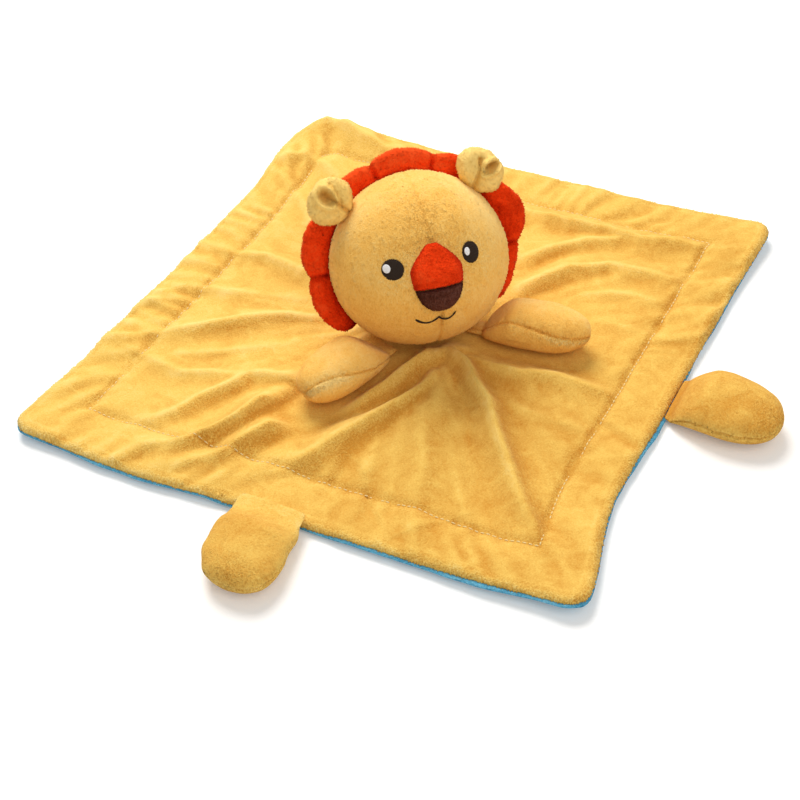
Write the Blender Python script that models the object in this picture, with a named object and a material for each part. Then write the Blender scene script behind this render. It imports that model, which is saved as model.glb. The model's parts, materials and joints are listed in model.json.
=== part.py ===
"""Comfort blanket lovey: a stuffed lion head with two arms on a small plush blanket with two feet.

Metres, +Z up. The origin is the middle of the blanket, on the surface that it lies on. The lion
faces -Y, and the blanket lies as a diamond, one corner in front. Left and right are the viewer's.
"""
import math
from collections import namedtuple

import bmesh
import bpy
from mathutils import Matrix, Vector

# Clearances, and the plush of the stuffed pieces
SEAM_GAP = 0.0003
FILLING_GAP = 0.0009
PLUSH_THICKNESS = 0.0016
REST_CUT = 0.0005
MERGE_DISTANCE = 0.000001
SHARP_ANGLE = math.radians(40.0)
PLUSH_ROUGHNESS = 0.9

# Blanket: two layers of plush, sewn at the edge and stitched through along a border
BLANKET_SIDE = 0.330
CORNER_RADIUS = 0.0110
BACK_CORNER_RADIUS = 0.026
CORNER_START_POWER = 8
BORDER_WIDTH = 0.030
TOP_THICKNESS = 0.0030
BACKING_THICKNESS = 0.0025
FOLD_HEIGHT = 0.0085
CORNER_LIFT = 0.009
CORNER_REACH = 0.095
EDGE_LIFT = 0.0016
EDGE_BOW = 0.010
NECK_RISE = 0.0065
NECK_RISE_WIDTH = 0.010
NECK_GATHER_HEIGHT = 0.0015
STITCH_DIP = 0.0008
STITCH_DIP_WIDTH = 0.007
BLANKET_SPOKES = 48

# Head: a ball of four panels round its filling, tipped back a little
HEAD_HALF_WIDTH = 0.0505
HEAD_HALF_DEPTH = 0.045
HEAD_HALF_HEIGHT = 0.0485
CHEEK_SHARE = 0.035
HEAD_PITCH = math.radians(28.0)
HEAD_TURN = math.radians(-2.5)
HEAD_X = 0.003
HEAD_Y = -0.006
HEAD_SEAM_BACK = 0.008

# Mane: a padded, scalloped ring in the seam behind the face
MANE_HALF_SPAN = math.radians(131.0)
MANE_RADIUS = 0.0620
MANE_REACH_SHARES = (1.07, 1.05, 0.97, 0.975, 0.975, 1.12, 0.975)
MANE_NOTCH = 0.0034
MANE_HALF_THICKNESS = 0.0046
MANE_CREASE_SHARE = 0.55
MANE_SCALLOP_POWER = 0.7
MANE_SWELL_POWER = 0.6

# Ears: two thick layers each, rolled forwards into a cup whose edges meet in front
EAR_ANGLE = math.radians(46.5)
EAR_LENGTH = 0.0225
EAR_HALF_WIDTH = 0.0092
EAR_HALF_DEPTH = 0.0062
EAR_LAYER_THICKNESS = 0.0027
EAR_WRAP = math.radians(168.0)
EAR_FORWARD = 0.0012
EAR_FRONT_SHARE = 0.60
EAR_BASE_SHARE = 0.80
EAR_FULL_SHARE = 0.60
EAR_CURL_SHARE = 0.10
EAR_RIM_SHARE = 0.40

# Nose: a red bridge and a brown tip over their own filling
NOSE_TOP = 0.0130
NOSE_SPLIT = -0.0100
NOSE_BOTTOM = -0.0240
NOSE_WIDEST = -0.0052
NOSE_HALF_WIDTH = 0.0142
NOSE_TIP_HALF_WIDTH = 0.0118
NOSE_APEX_HALF_WIDTH = 0.0018
NOSE_PROUD = 0.0088
NOSE_APEX_PROUD = 0.0026
NOSE_TAPER_POWER = 0.8
NOSE_FULL_SHARE = 0.9
NOSE_ROUND_POWER = 2.5
NOSE_FILLING_SHARES = (0.16, 0.62)
NOSE_FILLING_WIDTH_SHARE = 0.72

# Eyes and mouth: embroidered, standing just proud of the plush
EYE_OFFSET = 0.0218
EYE_HEIGHT = 0.0040
EYE_RADIUS = 0.0060
EYE_THICKNESS = 0.0010
GLINT_RADIUS = 0.0019
GLINT_LEFT = 0.0029
GLINT_UP = 0.0013
GLINT_THICKNESS = 0.0006
MOUTH_SHIFT = -0.0020
MOUTH_LEFT_WIDTH = 0.0125
MOUTH_RIGHT_WIDTH = 0.0098
MOUTH_HEIGHT = -0.0276
MOUTH_DROP = 0.0026
MOUTH_CORNER_RISE = 0.0010
MOUTH_SCALLOP_POWER = 0.8
THREAD_RADIUS = 0.00055
THREAD_ROUGHNESS = 0.8

# Arms and feet: stuffed pouches, each hinged at the seam that holds it
Limb = namedtuple("Limb", "length base_half_width half_width base_radius half_thickness "
                  "full_share round_share")
LEFT_ARM = Limb(length=0.0645, base_half_width=0.0105, half_width=0.0165, base_radius=0.0026,
                half_thickness=0.0118, full_share=0.60, round_share=0.55)
RIGHT_ARM = LEFT_ARM._replace(length=0.0695)
LEFT_FOOT = Limb(length=0.0510, base_half_width=0.0175, half_width=0.0225, base_radius=0.0024,
                 half_thickness=0.0112, full_share=0.50, round_share=0.48)
RIGHT_FOOT = LEFT_FOOT._replace(length=0.0585, half_width=0.0235)
NECK_RADIUS = 0.0300
ARM_BEARING = math.radians(60.0)
LEFT_ARM_HEADING = math.radians(62.0)
RIGHT_ARM_HEADING = math.radians(50.0)
LEFT_FOOT_ALONG = 0.002
RIGHT_FOOT_ALONG = -0.003
LEFT_FOOT_SPLAY = math.radians(7.0)
RIGHT_FOOT_SPLAY = math.radians(-6.0)
FILLING_START_SHARE = 0.16
TAB_CORNER_POWER = 0.5

# Mesh counts
FACE_CELLS = (9, 12)
BACK_CELLS = (7, 12)
LIMB_CELLS = (10, 8)
TAB_CELLS = 2
MANE_LOBE_CELLS = 6
MANE_ACROSS_CELLS = 4
EAR_CELLS = (6, 14)
NOSE_CELLS = (5, 8)
HEAD_BALL = (20, 14)
LIMB_BALL = (12, 8)
NOSE_BALL = (10, 8)
EYE_BALL = (14, 6)
MOUTH_STEPS = 16

# Worked out from the sizes above
HALF_SIDE = BLANKET_SIDE / 2
MANE_LOBES = len(MANE_REACH_SHARES)
LAYERS = BACKING_THICKNESS + SEAM_GAP + TOP_THICKNESS
HEAD_UNDER = math.hypot(HEAD_HALF_DEPTH * math.sin(HEAD_PITCH), HEAD_HALF_HEIGHT * math.cos(HEAD_PITCH))
NECK = Vector((HEAD_X, HEAD_Y, LAYERS + NECK_GATHER_HEIGHT + SEAM_GAP))
HEAD_CENTRE = NECK + Vector((0.0, 0.0, HEAD_UNDER))
FOOT_AXIS_HEIGHT = LAYERS / 2
ARM_AXIS_HEIGHT = LAYERS + SEAM_GAP + LEFT_ARM.base_radius

# The main folds, as shares of the half side: each a ridge of a width, through places with heights
FOLD_SHARES = (
    (0.066, ((0.07, -0.21, 0.85), (0.08, -0.55, 0.80), (0.07, -0.85, 0.55), (0.02, -1.06, 0.30))),
    (0.055, ((-0.10, -0.32, 0.60), (-0.26, -0.42, 0.85), (-0.53, -0.42, 0.75), (-0.88, -0.36, 0.50),
             (-1.00, -0.25, 0.20))),
    (0.050, ((-0.50, -0.22, 0.30), (-0.66, -0.20, 0.55), (-0.85, -0.18, 0.30))),
    (0.050, ((-0.33, 0.26, 0.40), (-0.53, 0.31, 0.60), (-0.74, 0.35, 0.30))),
    (0.050, ((-0.40, 0.11, 0.40), (-0.62, 0.16, 0.60), (-0.86, 0.22, 0.30))),
    (0.055, ((0.18, -0.38, 0.60), (0.38, -0.55, 0.60), (0.64, -0.72, 0.30))),
    (0.055, ((0.46, 0.22, 0.40), (0.66, 0.26, 0.70), (0.86, 0.22, 0.60), (1.08, 0.02, 0.30))),
    (0.080, ((-0.10, 1.20, 0.50), (0.06, 1.06, 0.70), (0.24, 0.90, 0.50))),
    (0.060, ((0.12, 0.42, 0.50), (0.28, 0.64, 0.50), (0.36, 0.82, 0.30))),
    (0.060, ((-0.22, 0.40, 0.50), (-0.42, 0.60, 0.50), (-0.60, 0.72, 0.30))),
)
# How far each corner is lifted: left, front, right and back
CORNER_LIFT_SHARES = (((-1, 0), 0.25), ((0, -1), 0.45), ((1, 0), 0.45), ((0, 1), 1.0))
# How far each edge bows out, from the middle of the blanket, at five places along it in turn:
# front right and back left from front to back, back right and front left from left to right
EDGE_BOW_SHARES = {
    "front_right": (0.6, -0.75, -0.6, -0.45, -0.1),
    "back_left": (0.2, -0.1, -0.25, -0.2, 0.4),
    "back_right": (0.5, 0.6, 0.3, 0.0, 0.0),
    "front_left": (0.45, 0.65, 0.2, 0.1, -0.2),
}
# Rings of the blanket, from the neck out to the edge
RING_SHARES = (0.09, 0.17, 0.25, 0.33, 0.42, 0.52, 0.62, 0.72)
SQUARE_START_SHARE = 0.20
SQUARE_END_SHARE = 0.78

# Colours
YELLOW = (0.80, 0.47, 0.10, 1.0)
BLUE = (0.03, 0.42, 0.75, 1.0)
RED = (0.75, 0.06, 0.02, 1.0)
BROWN = (0.10, 0.02, 0.015, 1.0)
WHITE = (0.85, 0.85, 0.83, 1.0)
FILLING_WHITE = (0.75, 0.75, 0.72, 1.0)


def smooth(share):
    """Eases from 0 to 1."""
    share = min(max(share, 0.0), 1.0)
    return share * share * (3 - 2 * share)


def mix(first, second, share):
    return first + (second - first) * share


def arch(share):
    """A half circle over 0 to 1."""
    return math.sqrt(max(0.0, 1 - (2 * share - 1) ** 2))


def material(name, colour, roughness):
    made = bpy.data.materials.new(name)
    made.use_nodes = True
    shader = made.node_tree.nodes["Principled BSDF"]
    shader.inputs["Base Color"].default_value = colour
    shader.inputs["Roughness"].default_value = roughness
    shader.inputs["Metallic"].default_value = 0.0
    made.diffuse_color = colour
    return made


def finish(name, bm, colour, holder=None, place=None):
    """Turns a bmesh into a named piece under its holder, at a place in the holder's frame."""
    bmesh.ops.remove_doubles(bm, verts=bm.verts[:], dist=MERGE_DISTANCE)
    bmesh.ops.dissolve_degenerate(bm, edges=bm.edges[:], dist=MERGE_DISTANCE)
    bmesh.ops.recalc_face_normals(bm, faces=bm.faces[:])
    mesh = bpy.data.meshes.new(name)
    bm.to_mesh(mesh)
    bm.free()
    mesh.shade_smooth()
    mesh.set_sharp_from_angle(angle=SHARP_ANGLE)
    mesh.materials.append(material(name, colour, PLUSH_ROUGHNESS))
    piece = bpy.data.objects.new(name, mesh)
    bpy.context.collection.objects.link(piece)
    if holder:
        piece.parent = holder
    if place:
        piece.location = place
    return piece


def pivot(name, place, turned, holder=None):
    """An empty on a joint's axis."""
    empty = bpy.data.objects.new(name, None)
    bpy.context.collection.objects.link(empty)
    if holder:
        empty.parent = holder
    empty.matrix_basis = Matrix.Translation(place) @ turned
    return empty


def sewn_panel(cells, outer, inner):
    """A layer of plush over a grid: outer and inner give its two faces at a share (u, v)."""
    bm = bmesh.new()
    bmesh.ops.create_grid(bm, x_segments=cells[0], y_segments=cells[1], size=1.0)
    shares = {vert: ((vert.co.x + 1) / 2, (vert.co.y + 1) / 2) for vert in bm.verts}
    grown = bmesh.ops.extrude_face_region(bm, geom=bm.faces[:], use_keep_orig=True)
    copies = [item for item in grown["geom"] if isinstance(item, bmesh.types.BMVert)]
    for vert in copies:
        vert.co = inner((vert.co.x + 1) / 2, (vert.co.y + 1) / 2)
    for vert, (u, v) in shares.items():
        vert.co = outer(u, v)
    return bm


def ball(segments, rings, shape):
    """A closed form: shape places each point of a unit ball whose poles are on X."""
    bm = bmesh.new()
    turned = Matrix.Rotation(math.pi / 2, 3, "Y")
    bmesh.ops.create_uvsphere(bm, u_segments=segments, v_segments=rings, radius=1.0)
    for vert in bm.verts:
        vert.co = shape(turned @ vert.co)
    return bm


# Blanket

def distance_to_path(x, y, path):
    """The nearest distance from a place to a path, and the height share of the path there."""
    best = None
    for first, second in zip(path, path[1:]):
        start = Vector(first[:2]) * HALF_SIDE
        run = Vector(second[:2]) * HALF_SIDE - start
        share = min(max((Vector((x, y)) - start).dot(run) / run.length_squared, 0.0), 1.0)
        distance = (start + run * share - Vector((x, y))).length
        if best is None or distance < best[0]:
            best = (distance, mix(first[2], second[2], share))
    return best


def arm_base(side, bearing):
    """The point on the neck where an arm is sewn in; side is -1 on the left and 1 on the right."""
    return Vector((HEAD_X + side * NECK_RADIUS * math.sin(bearing),
                   HEAD_Y - NECK_RADIUS * math.cos(bearing), ARM_AXIS_HEIGHT))


def arm_run(side, heading):
    return Vector((side * math.sin(heading), -math.cos(heading), 0.0))


def pressed_share(x, y):
    """1 where the head, an arm or a foot keeps the cloth down, and 0 well away from them."""
    place = Vector((x, y))
    head = (place - Vector((HEAD_X, HEAD_Y))).length
    pressed = 1 - smooth(head / NECK_RADIUS * 2 - 1)
    for limb, side, heading in ((LEFT_ARM, -1, LEFT_ARM_HEADING), (RIGHT_ARM, 1, RIGHT_ARM_HEADING)):
        base = arm_base(side, ARM_BEARING).to_2d()
        run = arm_run(side, heading).to_2d()
        share = min(max((place - base).dot(run), 0.0), limb.length)
        distance = (place - base - run * share).length
        pressed = max(pressed, 1 - smooth(distance / limb.half_width - 1))
    for limb, side, along in ((LEFT_FOOT, -1, LEFT_FOOT_ALONG), (RIGHT_FOOT, 1, RIGHT_FOOT_ALONG)):
        distance = (place - foot_seat(limb, side, along).to_2d()).length
        pressed = max(pressed, 1 - smooth(distance / limb.half_width - 1))
    return pressed


def lift(x, y, ring):
    """The height of the blanket's underside over the surface that it lies on."""
    height = 0.0
    for width, path in FOLD_SHARES:
        distance, share = distance_to_path(x, y, path)
        height = max(height, share * FOLD_HEIGHT * math.exp(-(distance / (width * HALF_SIDE)) ** 2))
    corner_distance = HALF_SIDE * math.sqrt(2)
    for (side_x, side_y), share in CORNER_LIFT_SHARES:
        away = math.hypot(x - side_x * corner_distance, y - side_y * corner_distance)
        height += share * CORNER_LIFT * max(0.0, 1 - away / CORNER_REACH) ** 2
    neck = math.hypot(x - HEAD_X, y - HEAD_Y) - NECK_RADIUS
    height = max(height, NECK_RISE * math.exp(-(neck / NECK_RISE_WIDTH) ** 2))
    height += EDGE_LIFT * smooth((ring - 1) * HALF_SIDE / BORDER_WIDTH + 1)
    height *= 1 - pressed_share(x, y)
    return max(0.0, height - REST_CUT)


def stitch_dip(ring):
    """How far the stitching along the border draws the top layer in."""
    away = abs((1 - ring) * HALF_SIDE - BORDER_WIDTH)
    return STITCH_DIP * math.exp(-(away / STITCH_DIP_WIDTH) ** 2)


def gather(ring):
    """The cloth gathered at the neck seam stands up a little in the middle."""
    return NECK_GATHER_HEIGHT * max(0.0, 1 - ring / RING_SHARES[0])


def edge_bow(name, share):
    """How far an edge bows out at a share of its length."""
    bows = EDGE_BOW_SHARES[name]
    place = min(max(share, 0.0), 1.0) * (len(bows) - 1)
    index = min(int(place), len(bows) - 2)
    return EDGE_BOW * mix(bows[index], bows[index + 1], smooth(place - index))


def bowed(along, across):
    """Moves a place, in the blanket's own square, with the edge that it lies towards."""
    right = edge_bow("front_right", (across / HALF_SIDE + 1) / 2) if along > 0 else 0.0
    left = edge_bow("back_left", (across / HALF_SIDE + 1) / 2) if along < 0 else 0.0
    back = edge_bow("back_right", (along / HALF_SIDE + 1) / 2) if across > 0 else 0.0
    front = edge_bow("front_left", (along / HALF_SIDE + 1) / 2) if across < 0 else 0.0
    along_weight = smooth(abs(along) / HALF_SIDE * 2 - 1)
    across_weight = smooth(abs(across) / HALF_SIDE * 2 - 1)
    return (along + (right - left) * along_weight, across + (back - front) * across_weight)


def blanket_place(ring, angle):
    """A point of the blanket's plan: rings are round at the neck and square at the edge."""
    square = 1 / max(abs(math.cos(angle)), abs(math.sin(angle)))
    at_back = math.cos(angle) < 0 < math.sin(angle)
    round_start = 1 - (BACK_CORNER_RADIUS if at_back else CORNER_RADIUS) / HALF_SIDE
    lean = min(abs(math.cos(angle)), abs(math.sin(angle))) * square
    if lean > round_start:
        # on the arc of the rounded corner, found along the ray from the middle
        reach = math.sqrt(1 + lean * lean)
        middle = round_start * (1 + lean) / reach
        off = 2 * round_start * round_start - middle * middle
        corner = middle + math.sqrt((1 - round_start) ** 2 - off)
        square = mix(square, corner, ring ** CORNER_START_POWER)
    squareness = smooth((ring - SQUARE_START_SHARE) / (SQUARE_END_SHARE - SQUARE_START_SHARE))
    radius = HALF_SIDE * ring * mix(1.0, square, squareness)
    along, across = bowed(radius * math.cos(angle), radius * math.sin(angle))
    middle_pull = 1 - smooth(ring)
    return (HEAD_X * middle_pull + (along + across) / math.sqrt(2),
            HEAD_Y * middle_pull + (across - along) / math.sqrt(2))


def blanket_layer(name, colour, low, high):
    """One layer of the blanket, between two heights over its plan."""
    stitch_share = 1 - BORDER_WIDTH / HALF_SIDE
    rings = RING_SHARES + (stitch_share, (1 + stitch_share) / 2, 1.0)
    bm = bmesh.new()
    line = [bm.verts.new((share, 0.0, 0.0)) for share in (0.0,) + rings]
    edges = [bm.edges.new(pair) for pair in zip(line, line[1:])]
    bmesh.ops.spin(bm, geom=line + edges, cent=(0, 0, 0), axis=(0, 0, 1), angle=math.tau,
                   steps=BLANKET_SPOKES, use_merge=True)
    bmesh.ops.remove_doubles(bm, verts=bm.verts[:], dist=MERGE_DISTANCE)
    bottom = set(bm.verts)
    bmesh.ops.extrude_face_region(bm, geom=bm.faces[:], use_keep_orig=True)
    for vert in bm.verts:
        ring = vert.co.xy.length
        x, y = blanket_place(ring, math.atan2(vert.co.y, vert.co.x))
        vert.co = (x, y, low(x, y, ring) if vert in bottom else high(x, y, ring))
    finish(name, bm, colour)


def make_blanket():
    blanket_layer("blanket_backing", BLUE, lift,
                  lambda x, y, ring: lift(x, y, ring) + BACKING_THICKNESS)
    blanket_layer("blanket_top", YELLOW,
                  lambda x, y, ring: lift(x, y, ring) + BACKING_THICKNESS + SEAM_GAP,
                  lambda x, y, ring: lift(x, y, ring) + LAYERS + gather(ring) - stitch_dip(ring))


# Head, in its own frame: X to the right, Y to the back, Z up, and the origin in its middle

def cheek(height):
    """The head is a little wider at the cheeks than at the brow."""
    return 1 - CHEEK_SHARE * height / HEAD_HALF_HEIGHT


def head_point(along, angle, inset):
    """A point of the head's form at a distance along Y, at an angle round Y from the right side."""
    depth = HEAD_HALF_DEPTH - inset
    girth = math.sqrt(max(0.0, 1 - (along / depth) ** 2))
    height = (HEAD_HALF_HEIGHT - inset) * girth * math.sin(angle)
    width = (HEAD_HALF_WIDTH - inset) * girth * math.cos(angle)
    return Vector((width * cheek(height), along, height))


def face_depth(x, z):
    """The distance that the face stands in front of the head's middle, at a place on it."""
    flat = (x / (HEAD_HALF_WIDTH * cheek(z))) ** 2 + (z / HEAD_HALF_HEIGHT) ** 2
    return HEAD_HALF_DEPTH * math.sqrt(max(0.0, 1 - flat))


def head_ring_radius(angle, along):
    """The head's radius in the plane at a distance along Y, at an angle from the top."""
    girth = math.sqrt(1 - (along / HEAD_HALF_DEPTH) ** 2)
    radius = HEAD_HALF_HEIGHT * girth
    for _ in range(4):
        width = HEAD_HALF_WIDTH * cheek(radius * math.cos(angle))
        radius = girth / math.hypot(math.sin(angle) / width, math.cos(angle) / HEAD_HALF_HEIGHT)
    return radius


def head_panel(name, side, front, holder, place):
    """A quarter of the head's cover: left or right of the middle seam, before or behind the mane."""
    facing = -1 if front else 1
    seam = HEAD_SEAM_BACK - SEAM_GAP / 2 if front else HEAD_SEAM_BACK + SEAM_GAP / 2

    def surface(inset):
        depth = HEAD_HALF_DEPTH - inset
        opening = math.acos(facing * seam / depth)

        def point(u, v):
            along = facing * depth * math.cos(opening * u)
            spot = head_point(along, mix(-math.pi / 2, math.pi / 2, v), inset)
            return Vector((side * (spot.x + SEAM_GAP / 2), spot.y, spot.z))
        return point
    cells = FACE_CELLS if front else BACK_CELLS
    bm = sewn_panel(cells, surface(0.0), surface(PLUSH_THICKNESS))
    finish(name, bm, YELLOW, holder, place)


def make_head(holder, place):
    for side, word in ((-1, "left"), (1, "right")):
        head_panel("face_" + word, side, True, holder, place)
        head_panel("head_back_" + word, side, False, holder, place)

    def filling(unit):
        inset = PLUSH_THICKNESS + FILLING_GAP
        return head_point((HEAD_HALF_DEPTH - inset) * unit.x, math.atan2(unit.z, unit.y), inset)
    finish("head_filling", ball(*HEAD_BALL, filling), FILLING_WHITE, holder, place)


# Mane

def mane_reach(share):
    """The mane's outer radius over its lobes, before they are scalloped."""
    place = min(max(share * MANE_LOBES - 1 / 2, 0.0), MANE_LOBES - 1)
    index = min(int(place), MANE_LOBES - 2)
    first, second = MANE_REACH_SHARES[index:index + 2]
    return MANE_RADIUS * mix(first, second, smooth(place - index))


def mane_section(share, across):
    """Angle from the top, radius and half thickness of the mane, at shares along and across it."""
    angle = mix(-MANE_HALF_SPAN, MANE_HALF_SPAN, share)
    ripple = abs(math.sin(math.pi * MANE_LOBES * share))
    end = min(min(share, 1 - share) * MANE_LOBES * 2, 1.0)
    end_round = mix(MANE_CREASE_SHARE, 1.0, math.sqrt(1 - (1 - end) ** 2))
    outer = mane_reach(share) - MANE_NOTCH * (1 - ripple ** MANE_SCALLOP_POWER)
    inner = head_ring_radius(angle, HEAD_SEAM_BACK - PLUSH_THICKNESS) + SEAM_GAP
    radius = mix(inner, inner + (outer - inner) * end_round, across)
    swell = mix(MANE_CREASE_SHARE, 1.0, ripple ** MANE_SWELL_POWER) * end_round * arch(across)
    return angle, radius, mix(PLUSH_THICKNESS, MANE_HALF_THICKNESS, swell)


def mane_panel(name, facing, holder, place):
    """The mane's front or back layer: its edges lie together in the seam."""
    def surface(inset):
        def point(u, v):
            angle, radius, half = mane_section(u, v)
            off = facing * (SEAM_GAP / 2 + max(half - inset, 0.0))
            return Vector((radius * math.sin(angle), HEAD_SEAM_BACK + off, radius * math.cos(angle)))
        return point
    cells = (MANE_LOBES * MANE_LOBE_CELLS, MANE_ACROSS_CELLS)
    bm = sewn_panel(cells, surface(0.0), surface(PLUSH_THICKNESS))
    finish(name, bm, RED, holder, place)


def make_mane(holder, place):
    mane_panel("mane_front", -1, holder, place)
    mane_panel("mane_back", 1, holder, place)
    # the wadding starts one cell in from the seams, on the same stations as the panels
    rim = 1 / MANE_ACROSS_CELLS
    end = 1 / (MANE_LOBES * MANE_LOBE_CELLS)

    def surface(facing):
        def point(u, v):
            angle, radius, half = mane_section(mix(end, 1 - end, u), mix(rim, 1 - rim, v))
            off = facing * max(half - PLUSH_THICKNESS - FILLING_GAP / 2, SEAM_GAP / 2)
            return Vector((radius * math.sin(angle), HEAD_SEAM_BACK + off, radius * math.cos(angle)))
        return point
    cells = (MANE_LOBES * MANE_LOBE_CELLS - 2, MANE_ACROSS_CELLS - 2)
    bm = sewn_panel(cells, surface(-1), surface(1))
    finish("mane_wadding", bm, FILLING_WHITE, holder, place)


# Ears, each in its own frame: X across it, Y to the back, Z away from the head

def ear_seat(angle, x, y):
    """The height of the head's surface in the ear's frame, with the seam's gap."""
    girth = head_ring_radius(angle, 0.0)
    radius = head_ring_radius(angle + math.asin(x / girth), y)
    return math.sqrt(radius * radius - x * x) + SEAM_GAP - girth


def ear_surface(angle, off):
    """The ear's rolled middle sheet, moved out of the roll by a distance that thins at the rim."""
    def point(u, v):
        across = 2 * v - 1
        turn = EAR_WRAP * across
        curl = EAR_CURL_SHARE * smooth((u - EAR_FULL_SHARE) / (1 - EAR_FULL_SHARE))
        swell = mix(EAR_BASE_SHARE, 1.0, smooth(u / EAR_FULL_SHARE)) - curl
        rim = math.sqrt(max(0.0, (1 - across ** 6) * (1 - u ** 6)))
        moved = off * mix(EAR_RIM_SHARE, 1.0, rim)
        x = (EAR_HALF_WIDTH * swell + moved) * math.sin(turn)
        y = (EAR_HALF_DEPTH * swell + moved) * math.cos(turn) - EAR_HALF_DEPTH - EAR_FORWARD
        top = EAR_LENGTH * mix(1.0, EAR_FRONT_SHARE, smooth(abs(across)))
        return Vector((x, y, mix(ear_seat(angle, x, y), top, u)))
    return point


def make_ear(word, side, head, place):
    angle = side * EAR_ANGLE
    radius = head_ring_radius(angle, 0.0)
    turned = Matrix.Rotation(angle, 4, "Y")
    root = place + Vector((radius * math.sin(angle), 0.0, radius * math.cos(angle)))
    front = -EAR_HALF_DEPTH * (1 + EAR_BASE_SHARE) - EAR_FORWARD - EAR_LAYER_THICKNESS
    seam = Vector((0.0, front, ear_seat(angle, 0.0, front)))
    hinge = pivot("ear_%s_seam" % word, root + turned @ seam, turned, head)
    near = SEAM_GAP / 2
    far = SEAM_GAP / 2 + EAR_LAYER_THICKNESS
    lining = sewn_panel(EAR_CELLS, ear_surface(angle, -near), ear_surface(angle, -far))
    finish("ear_%s_front" % word, lining, YELLOW, hinge, -seam)
    cover = sewn_panel(EAR_CELLS, ear_surface(angle, far), ear_surface(angle, near))
    finish("ear_%s_back" % word, cover, YELLOW, hinge, -seam)


# Nose, eyes and mouth

def nose_half_width(z):
    if z > NOSE_WIDEST:
        share = max(0.0, (NOSE_TOP - z) / (NOSE_TOP - NOSE_WIDEST))
        return mix(NOSE_APEX_HALF_WIDTH, NOSE_HALF_WIDTH, share ** NOSE_TAPER_POWER)
    share = max(0.0, (z - NOSE_BOTTOM) / (NOSE_WIDEST - NOSE_BOTTOM))
    return mix(NOSE_TIP_HALF_WIDTH, NOSE_HALF_WIDTH, smooth(share)) * math.sqrt(1 - (1 - share) ** 3)


def nose_proud(z, across):
    """How far the nose stands off the face."""
    rise = smooth((NOSE_TOP - z) / (NOSE_TOP - NOSE_SPLIT) / NOSE_FULL_SHARE)
    down = max(0.0, (NOSE_SPLIT - z) / (NOSE_SPLIT - NOSE_BOTTOM))
    fall = math.sqrt(max(0.0, 1 - down ** NOSE_ROUND_POWER))
    crown = mix(NOSE_APEX_PROUD, NOSE_PROUD, rise) * fall
    round_over = math.sqrt(max(0.0, 1 - abs(across) ** NOSE_ROUND_POWER))
    return PLUSH_THICKNESS + max(crown - PLUSH_THICKNESS, 0.0) * round_over


def nose_surface(low, high, inset, slack):
    def point(u, v):
        z = mix(low, high, u)
        across = 2 * v - 1
        x = max(nose_half_width(z) - slack, 0.0) * across
        off = max(nose_proud(z, across) - inset, 0.0) + SEAM_GAP
        return Vector((x, -face_depth(x, z) - off, z))
    return point


def make_nose(holder, place):
    split = SEAM_GAP / 2
    parts = (("nose_bridge", RED, NOSE_SPLIT + split, NOSE_TOP),
             ("nose_tip", BROWN, NOSE_BOTTOM, NOSE_SPLIT - split))
    for name, colour, low, high in parts:
        outer = nose_surface(low, high, 0.0, 0.0)
        bm = sewn_panel(NOSE_CELLS, outer, nose_surface(low, high, PLUSH_THICKNESS, 0.0))
        finish(name, bm, colour, holder, place)
    inset = PLUSH_THICKNESS + FILLING_GAP
    low, high = (mix(NOSE_BOTTOM, NOSE_TOP, share) for share in NOSE_FILLING_SHARES)

    def shape(unit):
        z = mix(low, high, (unit.z + 1) / 2)
        flat = math.sqrt(max(0.0, 1 - unit.z * unit.z))
        across = NOSE_FILLING_WIDTH_SHARE * unit.x
        x = across * nose_half_width(z)
        room = max(nose_proud(z, abs(across)) - inset, 0.0)
        off = SEAM_GAP + SEAM_GAP + room * flat * (1 - unit.y) / 2
        return Vector((x, -face_depth(x, z) - off, z))
    finish("nose_filling", ball(*NOSE_BALL, shape), FILLING_WHITE, holder, place)


def make_patch(name, colour, middle, radius, off, thickness, holder, place):
    """A round embroidered patch that follows the face, thickest in its middle."""
    def shape(unit):
        x = middle[0] + radius * unit.y
        z = middle[1] + radius * unit.z
        out = off + thickness / 2 * (1 - unit.x)
        return Vector((x, -face_depth(x, z) - out, z))
    finish(name, ball(*EYE_BALL, shape), colour, holder, place)


def make_eyes(holder, place):
    for side, word in ((-1, "left"), (1, "right")):
        eye = (side * EYE_OFFSET, EYE_HEIGHT)
        make_patch("eye_" + word, BROWN, eye, EYE_RADIUS, SEAM_GAP, EYE_THICKNESS, holder, place)
        glint = (eye[0] - GLINT_LEFT, eye[1] + GLINT_UP)
        over = SEAM_GAP + EYE_THICKNESS + SEAM_GAP
        make_patch("eye_glint_" + word, WHITE, glint, GLINT_RADIUS, over, GLINT_THICKNESS,
                   holder, place)


def make_mouth(holder, place):
    """A stitched smile of two scallops under the nose."""
    curve = bpy.data.curves.new("mouth_stitch", "CURVE")
    curve.dimensions = "3D"
    curve.bevel_depth = THREAD_RADIUS
    curve.bevel_resolution = 1
    curve.use_fill_caps = True
    line = curve.splines.new("POLY")
    line.points.add(MOUTH_STEPS)
    for step, point in enumerate(line.points):
        across = 2 * step / MOUTH_STEPS - 1
        x = MOUTH_SHIFT + (MOUTH_LEFT_WIDTH if across < 0 else MOUTH_RIGHT_WIDTH) * across
        scallop = abs(math.sin(math.pi * across)) ** MOUTH_SCALLOP_POWER
        z = MOUTH_HEIGHT - MOUTH_DROP * scallop + MOUTH_CORNER_RISE * abs(across) ** 3
        point.co = (x, -face_depth(x, z) - SEAM_GAP - THREAD_RADIUS, z, 1.0)
    curve.materials.append(material("mouth_stitch", BROWN, THREAD_ROUGHNESS))
    piece = bpy.data.objects.new("mouth_stitch", curve)
    bpy.context.collection.objects.link(piece)
    piece.parent = holder
    piece.location = place


# Limbs, each in its own frame: X along it, Y across, Z up, and the origin on its hinge

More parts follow.
